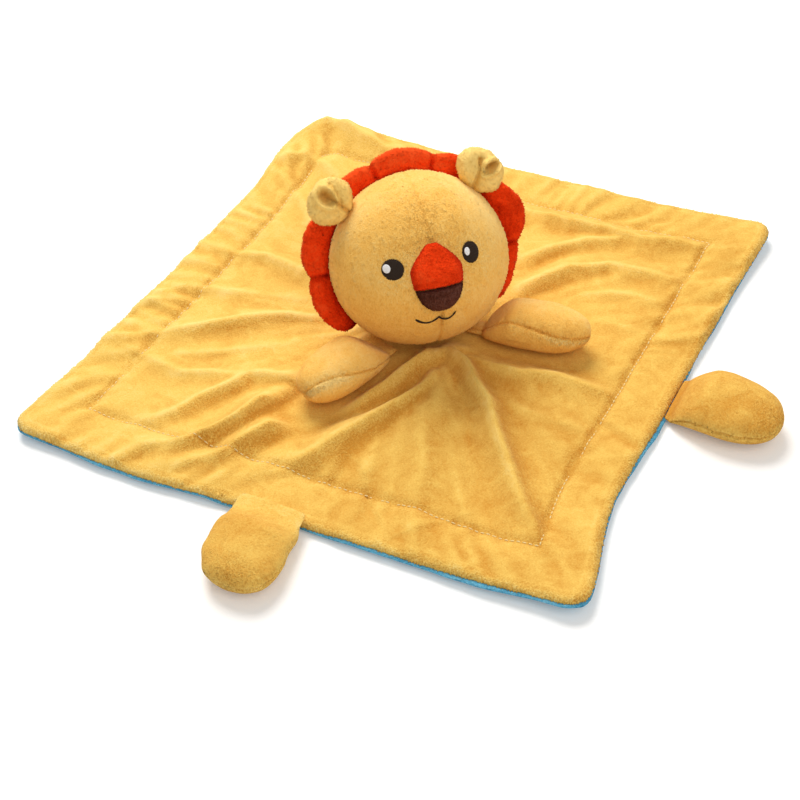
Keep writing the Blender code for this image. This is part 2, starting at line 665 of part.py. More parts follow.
def limb_section(limb, share, inset, axis_height):
    """Half width, half thickness and seam height of a limb, before its toe is rounded off."""
    grown = math.sin(math.pi / 2 * min(share / limb.full_share, 1.0))
    half_width = mix(limb.base_half_width, limb.half_width, grown) - inset
    thickness = mix(limb.base_radius, limb.half_thickness, grown)
    seam = max(0.0, thickness - axis_height - REST_CUT)
    return half_width, max(thickness - inset, 0.0), seam


def toe_round(limb, share):
    return math.sqrt(max(0.0, 1 - max(0.0, (share - limb.round_share) / (1 - limb.round_share)) ** 2))


def limb_surface(limb, facing, inset, axis_height, slant):
    """One face of the upper or the under panel, with a round tab where it turns on its hinge."""
    body_cells = LIMB_CELLS[0] - TAB_CELLS

    def point(u, v):
        step = round(u * LIMB_CELLS[0])
        angle = math.pi * v
        if step < TAB_CELLS:
            turn = math.pi / 2 * step / TAB_CELLS
            half_thickness = limb.base_radius * math.sin(turn) if inset == 0 else 0.0
            height = facing * (SEAM_GAP / 2 + half_thickness * math.sin(angle) ** TAB_CORNER_POWER)
            x = -limb.base_radius * math.cos(turn)
            return Vector((x, (limb.base_half_width - inset) * math.cos(angle), height))
        share = math.sin(math.pi / 2 * (step - TAB_CELLS) / body_cells)
        half_width, half_thickness, seam = limb_section(limb, share, inset, axis_height)
        rounding = toe_round(limb, share)
        height = seam + facing * (SEAM_GAP / 2 + half_thickness * rounding * math.sin(angle))
        if inset == 0:
            height = max(height, -axis_height)
        x = share * (limb.length - inset)
        return Vector((x, slant * x + half_width * rounding * math.cos(angle), height))
    return point


def make_limb(prefix, under_name, limb, axis_height, slant, holder):
    """A stuffed limb: an upper and an under panel that meet in a side seam, and the filling."""
    for name, facing in ((prefix + "_upper", 1), (under_name, -1)):
        outer = limb_surface(limb, facing, 0.0, axis_height, slant)
        inner = limb_surface(limb, facing, PLUSH_THICKNESS, axis_height, slant)
        bm = sewn_panel(LIMB_CELLS, outer, inner)
        finish(name, bm, YELLOW, holder)
    inset = PLUSH_THICKNESS + FILLING_GAP

    def shape(unit):
        share = mix(FILLING_START_SHARE, 1.0, (unit.x + 1) / 2)
        half_width, half_thickness, seam = limb_section(limb, share, inset, axis_height)
        flat = math.sqrt(max(0.0, 1 - unit.x * unit.x))
        fit = min(1.0, toe_round(limb, share) / flat) if flat > 0 else 0.0
        x = share * (limb.length - inset)
        return Vector((x, slant * x + half_width * unit.y * fit, seam + half_thickness * unit.z * fit))
    finish(prefix + "_filling", ball(*LIMB_BALL, shape), FILLING_WHITE, holder)


def make_arm(limb, word, side, heading):
    base = arm_base(side, ARM_BEARING)
    run = arm_run(side, heading)
    turned = Matrix.Rotation(math.atan2(run.y, run.x), 4, "Z")
    holder = pivot("arm_%s_seam" % word, base, turned)
    rest = ARM_AXIS_HEIGHT - LAYERS - SEAM_GAP
    make_limb("arm_" + word, "arm_%s_under" % word, limb, rest, 0.0, holder)


def foot_seat(limb, side, along):
    """The point at the blanket's edge that a foot is sewn to, at a distance along the edge."""
    out = Vector((side, -1.0, 0.0)).normalized()
    down = Vector((1.0, side, 0.0)).normalized()
    edge = "front_left" if side < 0 else "front_right"
    spots = (along - limb.base_half_width, along, along + limb.base_half_width)
    bow = max(edge_bow(edge, (spot / HALF_SIDE + 1) / 2) for spot in spots)
    return out * (HALF_SIDE + bow) + down * along


def make_foot(limb, word, side, along, splay):
    out = Vector((side, -1.0, 0.0)).normalized()
    seat = foot_seat(limb, side, along) + out * (limb.base_radius + SEAM_GAP)
    seat.z = FOOT_AXIS_HEIGHT
    turned = Matrix.Rotation(math.atan2(out.y, out.x), 4, "Z")
    holder = pivot("foot_%s_seam" % word, seat, turned)
    make_limb("foot_" + word, "foot_%s_sole" % word, limb, FOOT_AXIS_HEIGHT, math.tan(splay), holder)


def build():
    for item in list(bpy.data.objects):
        bpy.data.objects.remove(item, do_unlink=True)
    make_blanket()
    attitude = Matrix.Rotation(HEAD_TURN, 4, "Z") @ Matrix.Rotation(-HEAD_PITCH, 4, "X")
    head = pivot("neck_seam", NECK, attitude)
    place = attitude.inverted() @ (HEAD_CENTRE - NECK)
    make_head(head, place)
    make_mane(head, place)
    make_nose(head, place)
    make_eyes(head, place)
    make_mouth(head, place)
    for side, word in ((-1, "left"), (1, "right")):
        make_ear(word, side, head, place)
    make_arm(LEFT_ARM, "left", -1, LEFT_ARM_HEADING)
    make_arm(RIGHT_ARM, "right", 1, RIGHT_ARM_HEADING)
    make_foot(LEFT_FOOT, "left", -1, LEFT_FOOT_ALONG, LEFT_FOOT_SPLAY)
    make_foot(RIGHT_FOOT, "right", 1, RIGHT_FOOT_ALONG, RIGHT_FOOT_SPLAY)
    bpy.context.view_layer.update()


build()
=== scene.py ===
"""Dresses the comfort blanket lovey: plush, seams, folds, stitching, floor, light and camera."""
import json
import math
import random
from collections import namedtuple

import bmesh
import bpy
from bpy.props import FloatProperty, FloatVectorProperty, IntProperty, PointerProperty
from mathutils import Matrix, Vector, noise


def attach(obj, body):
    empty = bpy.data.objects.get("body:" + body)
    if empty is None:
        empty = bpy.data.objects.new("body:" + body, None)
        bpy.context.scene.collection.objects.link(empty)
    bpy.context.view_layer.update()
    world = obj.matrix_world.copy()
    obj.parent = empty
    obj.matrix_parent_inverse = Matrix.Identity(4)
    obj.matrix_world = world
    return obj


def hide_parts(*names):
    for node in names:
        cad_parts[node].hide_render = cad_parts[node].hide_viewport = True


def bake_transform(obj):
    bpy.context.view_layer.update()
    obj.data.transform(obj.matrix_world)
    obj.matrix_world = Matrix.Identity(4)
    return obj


bl_info = {
    "name": "Comfort Blanket Lovey",
    "version": (1, 0, 0),
    "blender": (4, 5, 0),
    "location": "3D View > Sidebar > Lovey",
    "description": "Plush, seams, folds and stitching of a stuffed lion on a comfort blanket",
    "category": "Object",
}

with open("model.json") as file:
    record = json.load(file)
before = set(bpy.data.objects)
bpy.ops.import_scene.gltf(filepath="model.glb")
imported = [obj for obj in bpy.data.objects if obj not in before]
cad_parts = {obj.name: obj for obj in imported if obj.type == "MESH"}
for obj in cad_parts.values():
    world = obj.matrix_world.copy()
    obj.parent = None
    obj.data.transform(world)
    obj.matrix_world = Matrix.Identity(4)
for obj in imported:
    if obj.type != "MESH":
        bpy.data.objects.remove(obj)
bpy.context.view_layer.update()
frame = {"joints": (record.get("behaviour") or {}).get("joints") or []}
JOINTS = {joint["name"]: joint for joint in frame["joints"]}

# The fixed form that the pieces share with the solids, in metres
SEAM_GAP = 0.0003
REST_CUT = 0.0005
MERGE_DISTANCE = 0.000001
HALF_SIDE = 0.165
FRONT_CORNER_RADIUS = 0.012
BACK_CORNER_RADIUS = 0.040
BORDER_WIDTH = 0.030
TOP_THICKNESS = 0.0030
BACKING_THICKNESS = 0.0025
LAYERS = BACKING_THICKNESS + SEAM_GAP + TOP_THICKNESS
FOLD_UNIT = 0.0118
FOLD_SHARPNESS = 1.5
FOLD_STEEP_SIDE = 0.72
FOLD_GENTLE_SIDE = 1.35
CREST_SHARE = 0.24
CREST_WIDTH_SHARE = 0.34
FOLD_REACH = 0.030
FOLD_WAVER = 0.0016
FOLD_WAVER_SCALE = 0.024
CORNER_LIFT = 0.009
CORNER_REACH = 0.095
EDGE_LIFT = 0.0016
EDGE_CURL = 0.0018
EDGE_CROWDING = 0.93
BACKING_REACH = 0.0009
EDGE_BOW = 0.010
NECK_RISE = 0.0065
NECK_RISE_WIDTH = 0.010
NECK_GATHER_HEIGHT = 0.0015
NECK_RADIUS = 0.030
NECK_GATHERS = 23
NECK_GATHER_RELIEF = 0.0008
NAPE_DIP = 0.0010
BORDER_PLEATS = 84
CREST_STEP_SHARE = 0.018
STITCH_DIP = 0.0014
STITCH_DIP_WIDTH = 0.0022
STITCH_HALF_SHARE = 0.36
STITCH_PROUD = 0.00012
STITCH_HOLLOW = 0.0006
STITCH_HOLLOW_WIDTH = 0.007
BORDER_SWELL = 0.0008
HEAD_HALF_WIDTH = 0.0505
HEAD_HALF_DEPTH = 0.045
HEAD_HALF_HEIGHT = 0.0485
CHEEK_SHARE = 0.035
HEAD_PITCH = math.radians(28.0)
HEAD_TURN = math.radians(-2.5)
HEAD_X = 0.003
HEAD_Y = -0.006
HEAD_SEAM_BACK = 0.008
PLUSH_THICKNESS = 0.0016
MANE_HALF_SPAN = math.radians(131.0)
MANE_LEFT_END = math.radians(-127.0)
MANE_RADIUS = 0.0620
MANE_REACH_SHARES = (1.025, 1.045, 0.97, 0.975, 0.975, 1.10, 0.945)
MANE_LOBES = len(MANE_REACH_SHARES)
MANE_NOTCH = 0.0034
MANE_HALF_THICKNESS = 0.0046
MANE_CREASE_SHARE = 0.55
EAR_ANGLE = math.radians(46.5)
EAR_HALF_DEPTH = 0.0062
EAR_FORWARD = 0.0012
NOSE_TOP = 0.0130
NOSE_SPLIT = -0.0100
NOSE_BOTTOM = -0.0240
NOSE_SHOULDER = -0.0020
NOSE_HALF_WIDTH = 0.0142
NOSE_TIP_HALF_WIDTH = 0.0118
NOSE_PROUD = 0.0094
NOSE_APEX_PROUD = 0.0026
EYE_OFFSET = 0.0218
EYE_HEIGHT = 0.0040
# Each eye: its middle, half width and half height, and the same of its glint
EYES = {
    "left": ((-0.0223, 0.0030), (0.0057, 0.0057), (-0.0254, 0.0041), (0.0020, 0.0024)),
    "right": ((0.0209, 0.0035), (0.0050, 0.0058), (0.0188, 0.0045), (0.0016, 0.0022)),
}

# How far the longest tufts of each pile stand out, and the way that gravity combs them
BLANKET_TUFT = 0.0011
HEAD_TUFT = 0.0007
MANE_TUFT = 0.0011
EAR_TUFT = 0.0010
NOSE_TUFT = 0.0006
LIMB_TUFT = 0.0007
COMB = Vector((0.0, 0.0, -0.4))

NECK = Vector(JOINTS["neck_nod"]["pos_m"])
HEAD_UNDER = math.hypot(HEAD_HALF_DEPTH * math.sin(HEAD_PITCH), HEAD_HALF_HEIGHT * math.cos(HEAD_PITCH))
HEAD_CENTRE = NECK + Vector((0.0, 0.0, HEAD_UNDER))
HEAD_ATTITUDE = Matrix.Rotation(HEAD_TURN, 4, "Z") @ Matrix.Rotation(-HEAD_PITCH, 4, "X")
HEAD_PLACE = Matrix.Translation(HEAD_CENTRE) @ HEAD_ATTITUDE

# The folds: each a ridge of a width, through places with heights, all as shares. Where main folds meet,
# the higher one shows, and the fine ones lie over them.
MAIN_FOLDS = (
    (0.048, ((0.05, -0.22, 0.78), (0.07, -0.32, 1.10), (0.07, -0.42, 1.20), (0.08, -0.54, 1.15),
             (0.06, -0.65, 1.10), (0.04, -0.76, 1.00), (0.03, -0.88, 0.85), (0.02, -0.99, 0.70),
             (0.02, -1.09, 0.45), (0.01, -1.19, 0.20))),
    (0.079, ((-0.04, -0.33, 0.70), (-0.16, -0.42, 1.00), (-0.28, -0.47, 0.98), (-0.38, -0.50, 0.90),
             (-0.52, -0.55, 0.75), (-0.66, -0.56, 0.50), (-0.80, -0.58, 0.25))),
    (0.182, ((-0.03, -0.37, 0.60), (-0.11, -0.50, 0.65), (-0.17, -0.62, 0.50), (-0.22, -0.78, 0.30))),
    (0.058, ((0.01, -0.215, 0.78), (-0.05, -0.235, 1.05), (-0.12, -0.255, 1.00), (-0.20, -0.305, 0.90),
             (-0.29, -0.335, 0.80), (-0.39, -0.345, 0.80), (-0.49, -0.340, 0.88), (-0.57, -0.350, 0.90),
             (-0.70, -0.400, 0.80), (-0.82, -0.430, 0.55), (-0.94, -0.420, 0.25))),
    (0.055, ((-0.46, -0.25, 0.55), (-0.52, -0.23, 0.75), (-0.62, -0.25, 0.90), (-0.71, -0.30, 0.90),
             (-0.81, -0.33, 0.80), (-0.93, -0.32, 0.55), (-1.03, -0.29, 0.25))),
    (0.055, ((-0.46, -0.20, 0.40), (-0.50, -0.15, 0.50), (-0.57, -0.10, 0.55), (-0.62, -0.07, 0.50),
             (-0.67, -0.10, 0.55), (-0.76, -0.12, 0.50), (-0.90, -0.16, 0.40), (-1.02, -0.16, 0.20))),
    (0.055, ((-0.34, 0.14, 0.35), (-0.41, 0.18, 0.45), (-0.57, 0.23, 0.55), (-0.72, 0.25, 0.50),
             (-0.82, 0.27, 0.40), (-0.94, 0.29, 0.30), (-1.05, 0.32, 0.20))),
    (0.048, ((-0.30, 0.42, 0.30), (-0.40, 0.56, 0.45), (-0.50, 0.63, 0.45), (-0.57, 0.70, 0.30),
             (-0.63, 0.77, 0.15))),
    (0.055, ((-0.19, 0.71, 0.30), (-0.19, 0.86, 0.45), (-0.20, 0.98, 0.45), (-0.24, 1.11, 0.30),
             (-0.27, 1.19, 0.15))),
    (0.073, ((-0.00, 0.95, 0.30), (-0.04, 1.07, 0.55), (-0.09, 1.15, 0.60), (-0.18, 1.16, 0.40))),
    (0.061, ((0.30, 1.05, 0.20), (0.23, 1.09, 0.40), (0.17, 1.17, 0.60), (0.11, 1.27, 0.65),
             (0.05, 1.35, 0.50))),
    (0.055, ((0.58, 0.47, 0.40), (0.65, 0.38, 0.60), (0.72, 0.31, 0.65), (0.84, 0.22, 0.65),
             (0.92, 0.11, 0.60), (1.03, 0.04, 0.50), (1.10, -0.01, 0.30), (1.17, -0.07, 0.15))),
    (0.055, ((0.49, 0.18, 0.30), (0.57, 0.19, 0.40), (0.74, 0.18, 0.45), (0.87, 0.15, 0.40))),
    (0.055, ((0.42, 0.02, 0.30), (0.51, 0.03, 0.45), (0.61, 0.04, 0.50), (0.75, 0.01, 0.50),
             (0.89, -0.11, 0.45), (0.96, -0.18, 0.25))),
    (0.055, ((0.12, -0.27, 0.45), (0.17, -0.36, 0.65), (0.24, -0.42, 0.60), (0.35, -0.50, 0.50),
             (0.45, -0.59, 0.35), (0.50, -0.65, 0.15))),
)
FINE_FOLDS = (
    (0.042, ((-0.67, -0.06, 0.20), (-0.74, -0.02, 0.35), (-0.84, 0.04, 0.35), (-0.93, 0.16, 0.25),
             (-1.02, 0.27, 0.10))),
    (0.042, ((-0.35, 0.26, 0.15), (-0.45, 0.32, 0.25), (-0.55, 0.38, 0.30), (-0.64, 0.45, 0.25),
             (-0.71, 0.51, 0.15), (-0.83, 0.49, 0.15))),
    (0.042, ((-0.41, 0.05, 0.10), (-0.55, 0.07, 0.20), (-0.69, 0.10, 0.20), (-0.82, 0.15, 0.15))),
    (0.036, ((-0.70, 0.66, 0.18), (-0.63, 0.63, 0.18), (-0.57, 0.57, 0.10))),
    (0.036, ((-0.93, 0.47, 0.18), (-0.82, 0.45, 0.20), (-0.73, 0.40, 0.10))),
    (0.042, ((0.61, -0.09, 0.15), (0.70, -0.13, 0.25), (0.78, -0.19, 0.25), (0.86, -0.27, 0.10))),
    (0.042, ((0.60, -0.25, 0.10), (0.67, -0.32, 0.20), (0.73, -0.38, 0.15))),
    (0.042, ((0.16, -0.54, 0.08), (0.22, -0.62, 0.18), (0.27, -0.68, 0.18), (0.34, -0.75, 0.10))),
    (0.048, ((0.51, -0.45, 0.10), (0.58, -0.55, 0.20), (0.64, -0.62, 0.15))),
    (0.055, ((-0.15, -0.55, 0.10), (-0.22, -0.73, 0.22), (-0.28, -0.86, 0.16), (-0.32, -0.96, 0.10))),
    (0.055, ((-0.08, -0.63, 0.10), (-0.12, -0.79, 0.22), (-0.15, -0.92, 0.18), (-0.17, -1.01, 0.10))),
    (0.048, ((-0.30, -0.54, 0.08), (-0.38, -0.66, 0.20), (-0.45, -0.75, 0.14))),
    (0.048, ((-0.44, -0.56, 0.08), (-0.51, -0.65, 0.16), (-0.57, -0.71, 0.10))),
)
# Creases, where the cloth is drawn down between two folds: a width, and places with depths, all as shares
CREASES = (
    (0.024, ((0.08, -0.14, 0.70), (-0.01, -0.25, 0.80), (-0.09, -0.306, 0.85), (-0.18, -0.360, 0.85),
             (-0.28, -0.385, 0.80), (-0.37, -0.398, 0.75), (-0.46, -0.395, 0.60), (-0.58, -0.420, 0.30))),
    (0.022, ((0.10, -0.18, 0.60), (0.13, -0.26, 0.60), (0.18, -0.34, 0.45), (0.25, -0.40, 0.25))),
)
CORNER_LIFT_SHARES = (((-1, 0), 0.25), ((0, -1), 0.45), ((1, 0), 0.45), ((0, 1), 1.0))
EDGE_BOW_SHARES = {
    "front_right": (0.6, -0.75, -0.6, -0.45, -0.1),
    "back_left": (0.2, -0.1, -0.25, -0.2, 0.4),
    "back_right": (0.5, 0.6, 0.3, 0.0, 0.0),
    "front_left": (0.45, 0.65, 0.2, 0.1, -0.2),
}


class Limb:
    """A stuffed arm or foot: its length, its slant and the hinge that it hangs from."""

    def __init__(self, joint, length, base_half_width, half_width, base_radius, splay):
        self.length = length
        self.base_half_width = base_half_width
        self.half_width = half_width
        self.base_radius = base_radius
        self.slant = math.tan(splay)
        across = -Vector(JOINTS[joint]["axis"])
        along = across.cross(Vector((0.0, 0.0, 1.0)))
        self.place = Matrix((along, across, (0.0, 0.0, 1.0))).transposed().to_4x4()
        self.place.translation = Vector(JOINTS[joint]["pos_m"])
        self.axis_height = self.place.translation.z


ARM_SIZES = (0.0105, 0.0165, 0.0026)
FOOT_SIZES = (0.0175, 0.0225, 0.0024)
LIMBS = {
    "arm_left": Limb("arm_left_lift", 0.0645, *ARM_SIZES, 0.0),
    "arm_right": Limb("arm_right_lift", 0.0695, *ARM_SIZES, 0.0),
    "foot_left": Limb("foot_left_lift", 0.0510, *FOOT_SIZES, math.radians(7.0)),
    "foot_right": Limb("foot_right_lift", 0.0585, *FOOT_SIZES, math.radians(-6.0)),
}
for word in ("arm_left", "arm_right"):
    LIMBS[word].axis_height -= LAYERS + SEAM_GAP


class LoveySizes(bpy.types.PropertyGroup):
    """Sizes that change how the toy looks without moving its solids."""
    wrinkle_height: FloatProperty(name="Wrinkle height", description="Height of the small wrinkles in the blanket",
                                  default=0.0009, min=0.0, max=0.003, unit="LENGTH")
    pucker_height: FloatProperty(name="Pucker height", description="Height of the puckers across the border",
                                 default=0.0020, min=0.0, max=0.003, unit="LENGTH")
    seam_depth: FloatProperty(name="Seam depth", description="Depth of the seams in the stuffed pieces",
                              default=0.0009, min=0.0, max=0.002, unit="LENGTH")
    stitch_pitch: FloatProperty(name="Stitch pitch", description="Distance from one topstitch to the next",
                                default=0.0031, min=0.001, max=0.01, unit="LENGTH")
    stitch_width: FloatProperty(name="Stitch width", description="Width of the topstitching thread",
                                default=0.0008, min=0.0002, max=0.002, unit="LENGTH")
    pile: FloatProperty(name="Pile", description="Depth of the plush pile's relief",
                        default=0.0009, min=0.0, max=0.003, unit="LENGTH")
    blanket_cells: IntProperty(name="Blanket cells", description="Cells along each side of the blanket's top",
                               default=210, min=40, max=220)


def colour(name, description, value):
    return FloatVectorProperty(name=name, description=description, default=value, subtype="COLOR",
                               size=3, min=0.0, max=1.0)


class LoveyColours(bpy.types.PropertyGroup):
    """Colours of the plush and the threads."""
    # The deep and light tones of each plush are its pile where it parts and where it is brushed flat, and also the
    # ends that its painted shade and painted highlights reach.
    golden: colour("Golden plush", "Blanket top, face, ears, arms and feet", (0.805, 0.512, 0.114))
    golden_deep: colour("Golden plush, deep", "Golden pile where it parts", (0.59, 0.265, 0.036))
    golden_light: colour("Golden plush, light", "Golden pile where it is brushed flat", (0.92, 0.69, 0.25))
    red: colour("Red plush", "Mane and bridge of the nose", (0.84, 0.048, 0.0060))
    red_deep: colour("Red plush, deep", "Red pile where it parts", (0.42, 0.012, 0.0010))
    red_light: colour("Red plush, light", "Red pile where it is brushed flat", (0.95, 0.110, 0.0220))
    brown: colour("Brown plush", "Tip of the nose", (0.080, 0.024, 0.015))
    brown_deep: colour("Brown plush, deep", "Brown pile where it parts", (0.020, 0.004, 0.003))
    brown_light: colour("Brown plush, light", "Brown pile where it is brushed flat", (0.150, 0.060, 0.045))
    blue: colour("Blue plush", "Backing of the blanket", (0.12, 0.43, 0.64))
    blue_deep: colour("Blue plush, deep", "Blue pile where it parts", (0.04, 0.22, 0.40))
    blue_light: colour("Blue plush, light", "Blue pile where it is brushed flat", (0.30, 0.62, 0.78))
    dark_thread: colour("Dark thread", "Eyes and mouth", (0.024, 0.0115, 0.0055))
    white_thread: colour("White thread", "Glints in the eyes", (0.95, 0.95, 0.97))
    topstitch: colour("Topstitch", "Stitching along the border", (0.93, 0.74, 0.36))
    floor: colour("Floor", "Floor under the toy", (0.88, 0.88, 0.88))


# The piles: noise scales of their patterns, then for each its brushed patches, clumps, single fibres and sheen
PATCH_SCALE = 26.0
STREAK_SCALE = 75.0
CLUMP_SCALE = 850.0
FIBRE_SCALE = 1300.0
NAP_SPECKLE = 1.35
# How far the seams' darkening and the painted shade and highlights that the points carry move the pile's tone
SEAM_AND_PAINTED_LIGHT_STRENGTH = 0.42
# The pale tone that the ears' pile is half mixed with: painted light on the ears
EAR_PAINTED_GLOW = (1.0, 0.66, 0.19)
PLUSH_FINISHES = {
    "golden_pile": (0.50, 0.40, 0.48, 0.14),
    "stuffed_pile": (0.50, 0.40, 0.48, 0.14),
    "ear_pile": (0.50, 0.40, 0.48, 0.08),
    "red_pile": (0.80, 0.45, 0.32, 0.05),
    "brown_pile": (0.60, 0.90, 0.80, 0.03),
    "blue_pile": (0.60, 0.90, 0.50, 0.25),
}


# Small sums

def smooth(share):
    share = min(max(share, 0.0), 1.0)
    return share * share * (3 - 2 * share)


def mix(first, second, share):
    return first + (second - first) * share


def bell(distance, width):
    """1 at no distance, falling to nothing over about two widths."""
    return math.exp(-(distance / width) ** 2)


def quarter_round(share):
    """A share that rises from 0 to 1 as the edge of something round does."""
    return math.sqrt(max(0.0, 1 - (1 - share) ** 2))


def rough(place, scale, seed):
    """Smooth noise from -1 to 1, whose lumps are about a scale in metres across."""
    return noise.noise(Vector(place) / scale + Vector((seed, seed, seed)))


def rays(turn, count, away, seed=0.0):
    """Smooth noise in rays from the neck: more of them with a count, and shorter with a larger way out."""
    return noise.noise(Vector((math.cos(turn) * count, math.sin(turn) * count, away + seed)))


def from_head(x, y):
    """Distance in plan from the middle of the head."""
    return math.hypot(x - HEAD_X, y - HEAD_Y)


def behind_head(y, reach):
    """A share that goes from 0 before the middle of the head to 1 behind it."""
    return smooth(0.5 + (y - HEAD_Y) / reach)


def inset_of(along, across):
    """How far a place of the square, in shares, lies in from its edge."""
    return (1 - max(abs(along), abs(across))) * HALF_SIDE


# Materials

def link(tree, source, target):
    tree.links.new(source, target)


def add_node(tree, kind, operation=None, **values):
    made = tree.nodes.new(kind)
    if operation:
        made.operation = operation
    for name, value in values.items():
        made.inputs[name.replace("_", " ")].default_value = value
    return made


def add_sum(tree, first, second, operation="ADD"):
    made = tree.nodes.new("ShaderNodeMath")
    made.operation = operation
    for socket, item in zip(made.inputs, (first, second)):
        if isinstance(item, (int, float)):
            socket.default_value = item
        else:
            link(tree, item, socket)
    return made.outputs[0]


def add_mix(tree, share, first, second):
    made = tree.nodes.new("ShaderNodeMix")
    made.data_type = "RGBA"
    link(tree, share, made.inputs["Factor"])
    link(tree, first, made.inputs[6])
    link(tree, second, made.inputs[7])
    return made.outputs[2]


def noise_from(tree, place, scale, detail, distortion=0.0):
    made = add_node(tree, "ShaderNodeTexNoise", Scale=scale, Detail=detail, Distortion=distortion)
    link(tree, place, made.inputs["Vector"])
    return made.outputs["Fac"]


def new_group(name, colours, values):
    """An empty node group with its inputs, and a colour and a height to give out."""
    tree = bpy.data.node_groups.new(name, "ShaderNodeTree")
    for label in colours:
        tree.interface.new_socket(name=label, in_out="INPUT", socket_type="NodeSocketColor")
    for label in values:
        tree.interface.new_socket(name=label, in_out="INPUT", socket_type="NodeSocketFloat")
    tree.interface.new_socket(name="Color", in_out="OUTPUT", socket_type="NodeSocketColor")
    tree.interface.new_socket(name="Height", in_out="OUTPUT", socket_type="NodeSocketFloat")
    place = tree.nodes.new("ShaderNodeTexCoord").outputs["Object"]
    return tree, tree.nodes.new("NodeGroupInput").outputs, tree.nodes.new("NodeGroupOutput").inputs, place


def plush_group():
    """Pile of short plush: brushed patches, clumps and single fibres, darker where it parts, and darker or lighter by
    the seams and the painted shade and painted highlights that its points carry.
    """
    found = bpy.data.node_groups.get("Plush pile")
    if found:
        return found
    tree, ins, outs, place = new_group("Plush pile", ("Deep", "Mid", "Light"), ("Brushing", "Clumping", "Speckle"))
    brushed = noise_from(tree, place, PATCH_SCALE, 2.0, 0.6)
    streaked = noise_from(tree, place, STREAK_SCALE, 3.0, 1.6)
    clumped = noise_from(tree, place, CLUMP_SCALE, 3.0, 0.6)
    drawn = add_node(tree, "ShaderNodeMapping", Scale=(1.0, 1.0, 0.45))
    link(tree, place, drawn.inputs["Vector"])
    fibres = noise_from(tree, drawn.outputs["Vector"], FIBRE_SCALE, 2.0, 0.4)
    seam, nap = (tree.nodes.new("ShaderNodeAttribute") for _ in range(2))
    seam.attribute_name = "seam"
    nap.attribute_name = "nap"

    def times(value, strength):
        return add_sum(tree, value, strength, "MULTIPLY")

    def centred(value, strength):
        return times(add_sum(tree, value, 0.5, "SUBTRACT"), strength)

    speckle = add_sum(tree, ins["Speckle"], times(nap.outputs["Fac"], NAP_SPECKLE))
    tone = add_sum(tree, centred(brushed, ins["Brushing"]), 0.5)
    for pattern, strength in ((streaked, ins["Brushing"]), (clumped, ins["Clumping"]), (fibres, speckle)):
        tone = add_sum(tree, tone, centred(pattern, strength))
    # the seams' darkening with painted shade, and painted highlights, carried by the points
    tone = add_sum(tree, tone, times(seam.outputs["Fac"], SEAM_AND_PAINTED_LIGHT_STRENGTH), "SUBTRACT")
    low = times(tone, 2.0)
    high = add_sum(tree, times(tone, 2.0), 1.0, "SUBTRACT")
    for share in (low, high):
        share.node.use_clamp = True
    shaded = add_mix(tree, low, ins["Deep"], ins["Mid"])
    link(tree, add_mix(tree, high, shaded, ins["Light"]), outs["Color"])
    parted = add_sum(tree, times(nap.outputs["Fac"], 0.9), 0.45)
    height = add_sum(tree, times(clumped, 0.40), times(fibres, parted))
    link(tree, add_sum(tree, height, times(streaked, 0.35)), outs["Height"])
    return tree


def thread_group():
    """Satin stitch: fine parallel threads, each with a painted highlight along its back."""
    found = bpy.data.node_groups.get("Satin stitch")
    if found:
        return found
    tree, ins, outs, place = new_group("Satin stitch", ("Base", "Shine"), ("Turn", "Threads"))
    turned = add_node(tree, "ShaderNodeVectorRotate")
    turned.rotation_type = "Y_AXIS"
    link(tree, place, turned.inputs["Vector"])
    link(tree, ins["Turn"], turned.inputs["Angle"])
    waves = add_node(tree, "ShaderNodeTexWave", Distortion=1.2, Detail=2.0, Detail_Scale=2.0)
    link(tree, turned.outputs[0], waves.inputs["Vector"])
    link(tree, ins["Threads"], waves.inputs["Scale"])
    uneven = noise_from(tree, place, 420.0, 2.0)
    tone = add_sum(tree, add_sum(tree, waves.outputs["Fac"], 0.55, "MULTIPLY"),
                   add_sum(tree, uneven, 0.45, "MULTIPLY"))
    link(tree, add_mix(tree, tone, ins["Base"], ins["Shine"]), outs["Color"])
    link(tree, waves.outputs["Fac"], outs["Height"])
    return tree


def patterned_material(name, group, values, strength, distance, **finish):
    """A material whose colour and relief come from a node group, with its finish on the shader itself."""
    made = bpy.data.materials.new(name)
    made.use_nodes = True
    tree = made.node_tree
    shader = tree.nodes["Principled BSDF"]
    pattern = tree.nodes.new("ShaderNodeGroup")
    pattern.node_tree = group
    for socket, value in zip(pattern.inputs, values):
        socket.default_value = value
    bump = add_node(tree, "ShaderNodeBump", Strength=strength, Distance=distance)
    link(tree, pattern.outputs["Height"], bump.inputs["Height"])
    link(tree, pattern.outputs["Color"], shader.inputs["Base Color"])
    link(tree, bump.outputs["Normal"], shader.inputs["Normal"])
    for word, value in finish.items():
        shader.inputs[word.replace("_", " ")].default_value = value
    return made


def plush_tones(name):
    """The deep, middle and light tone of a pile: warmer on the stuffed pieces, and on the ears paler, half mixed with
    a painted glow of light.
    """
    colours = bpy.context.scene.lovey_colours
    plush = {"stuffed_pile": "golden", "ear_pile": "golden"}.get(name, name.split("_")[0])
    tones = [tuple(getattr(colours, plush + end)) for end in ("_deep", "", "_light")]
    if name == "stuffed_pile":
        return [(min(red * 1.10, 0.97), green * 0.98, blue * 0.97) for red, green, blue in tones]
    if name == "ear_pile":
        return [tuple(mix(part, high, 0.50) for part, high in zip(tone, EAR_PAINTED_GLOW)) for tone in tones]
    return tones


def plush_material(name):
    tones = plush_tones(name)
    brushing, clumping, speckle, sheen = PLUSH_FINISHES[name]
    values = (*((*tone, 1.0) for tone in tones), brushing, clumping, speckle)
    sheen_tint = (*(mix(part, 1.0, 0.45) for part in tones[2]), 1.0)
    return patterned_material(name, plush_group(), values, 0.75, bpy.context.scene.lovey_sizes.pile,
                              Roughness=0.92, Specular_IOR_Level=0.0, Sheen_Weight=sheen, Sheen_Roughness=0.45,
                              Sheen_Tint=sheen_tint)


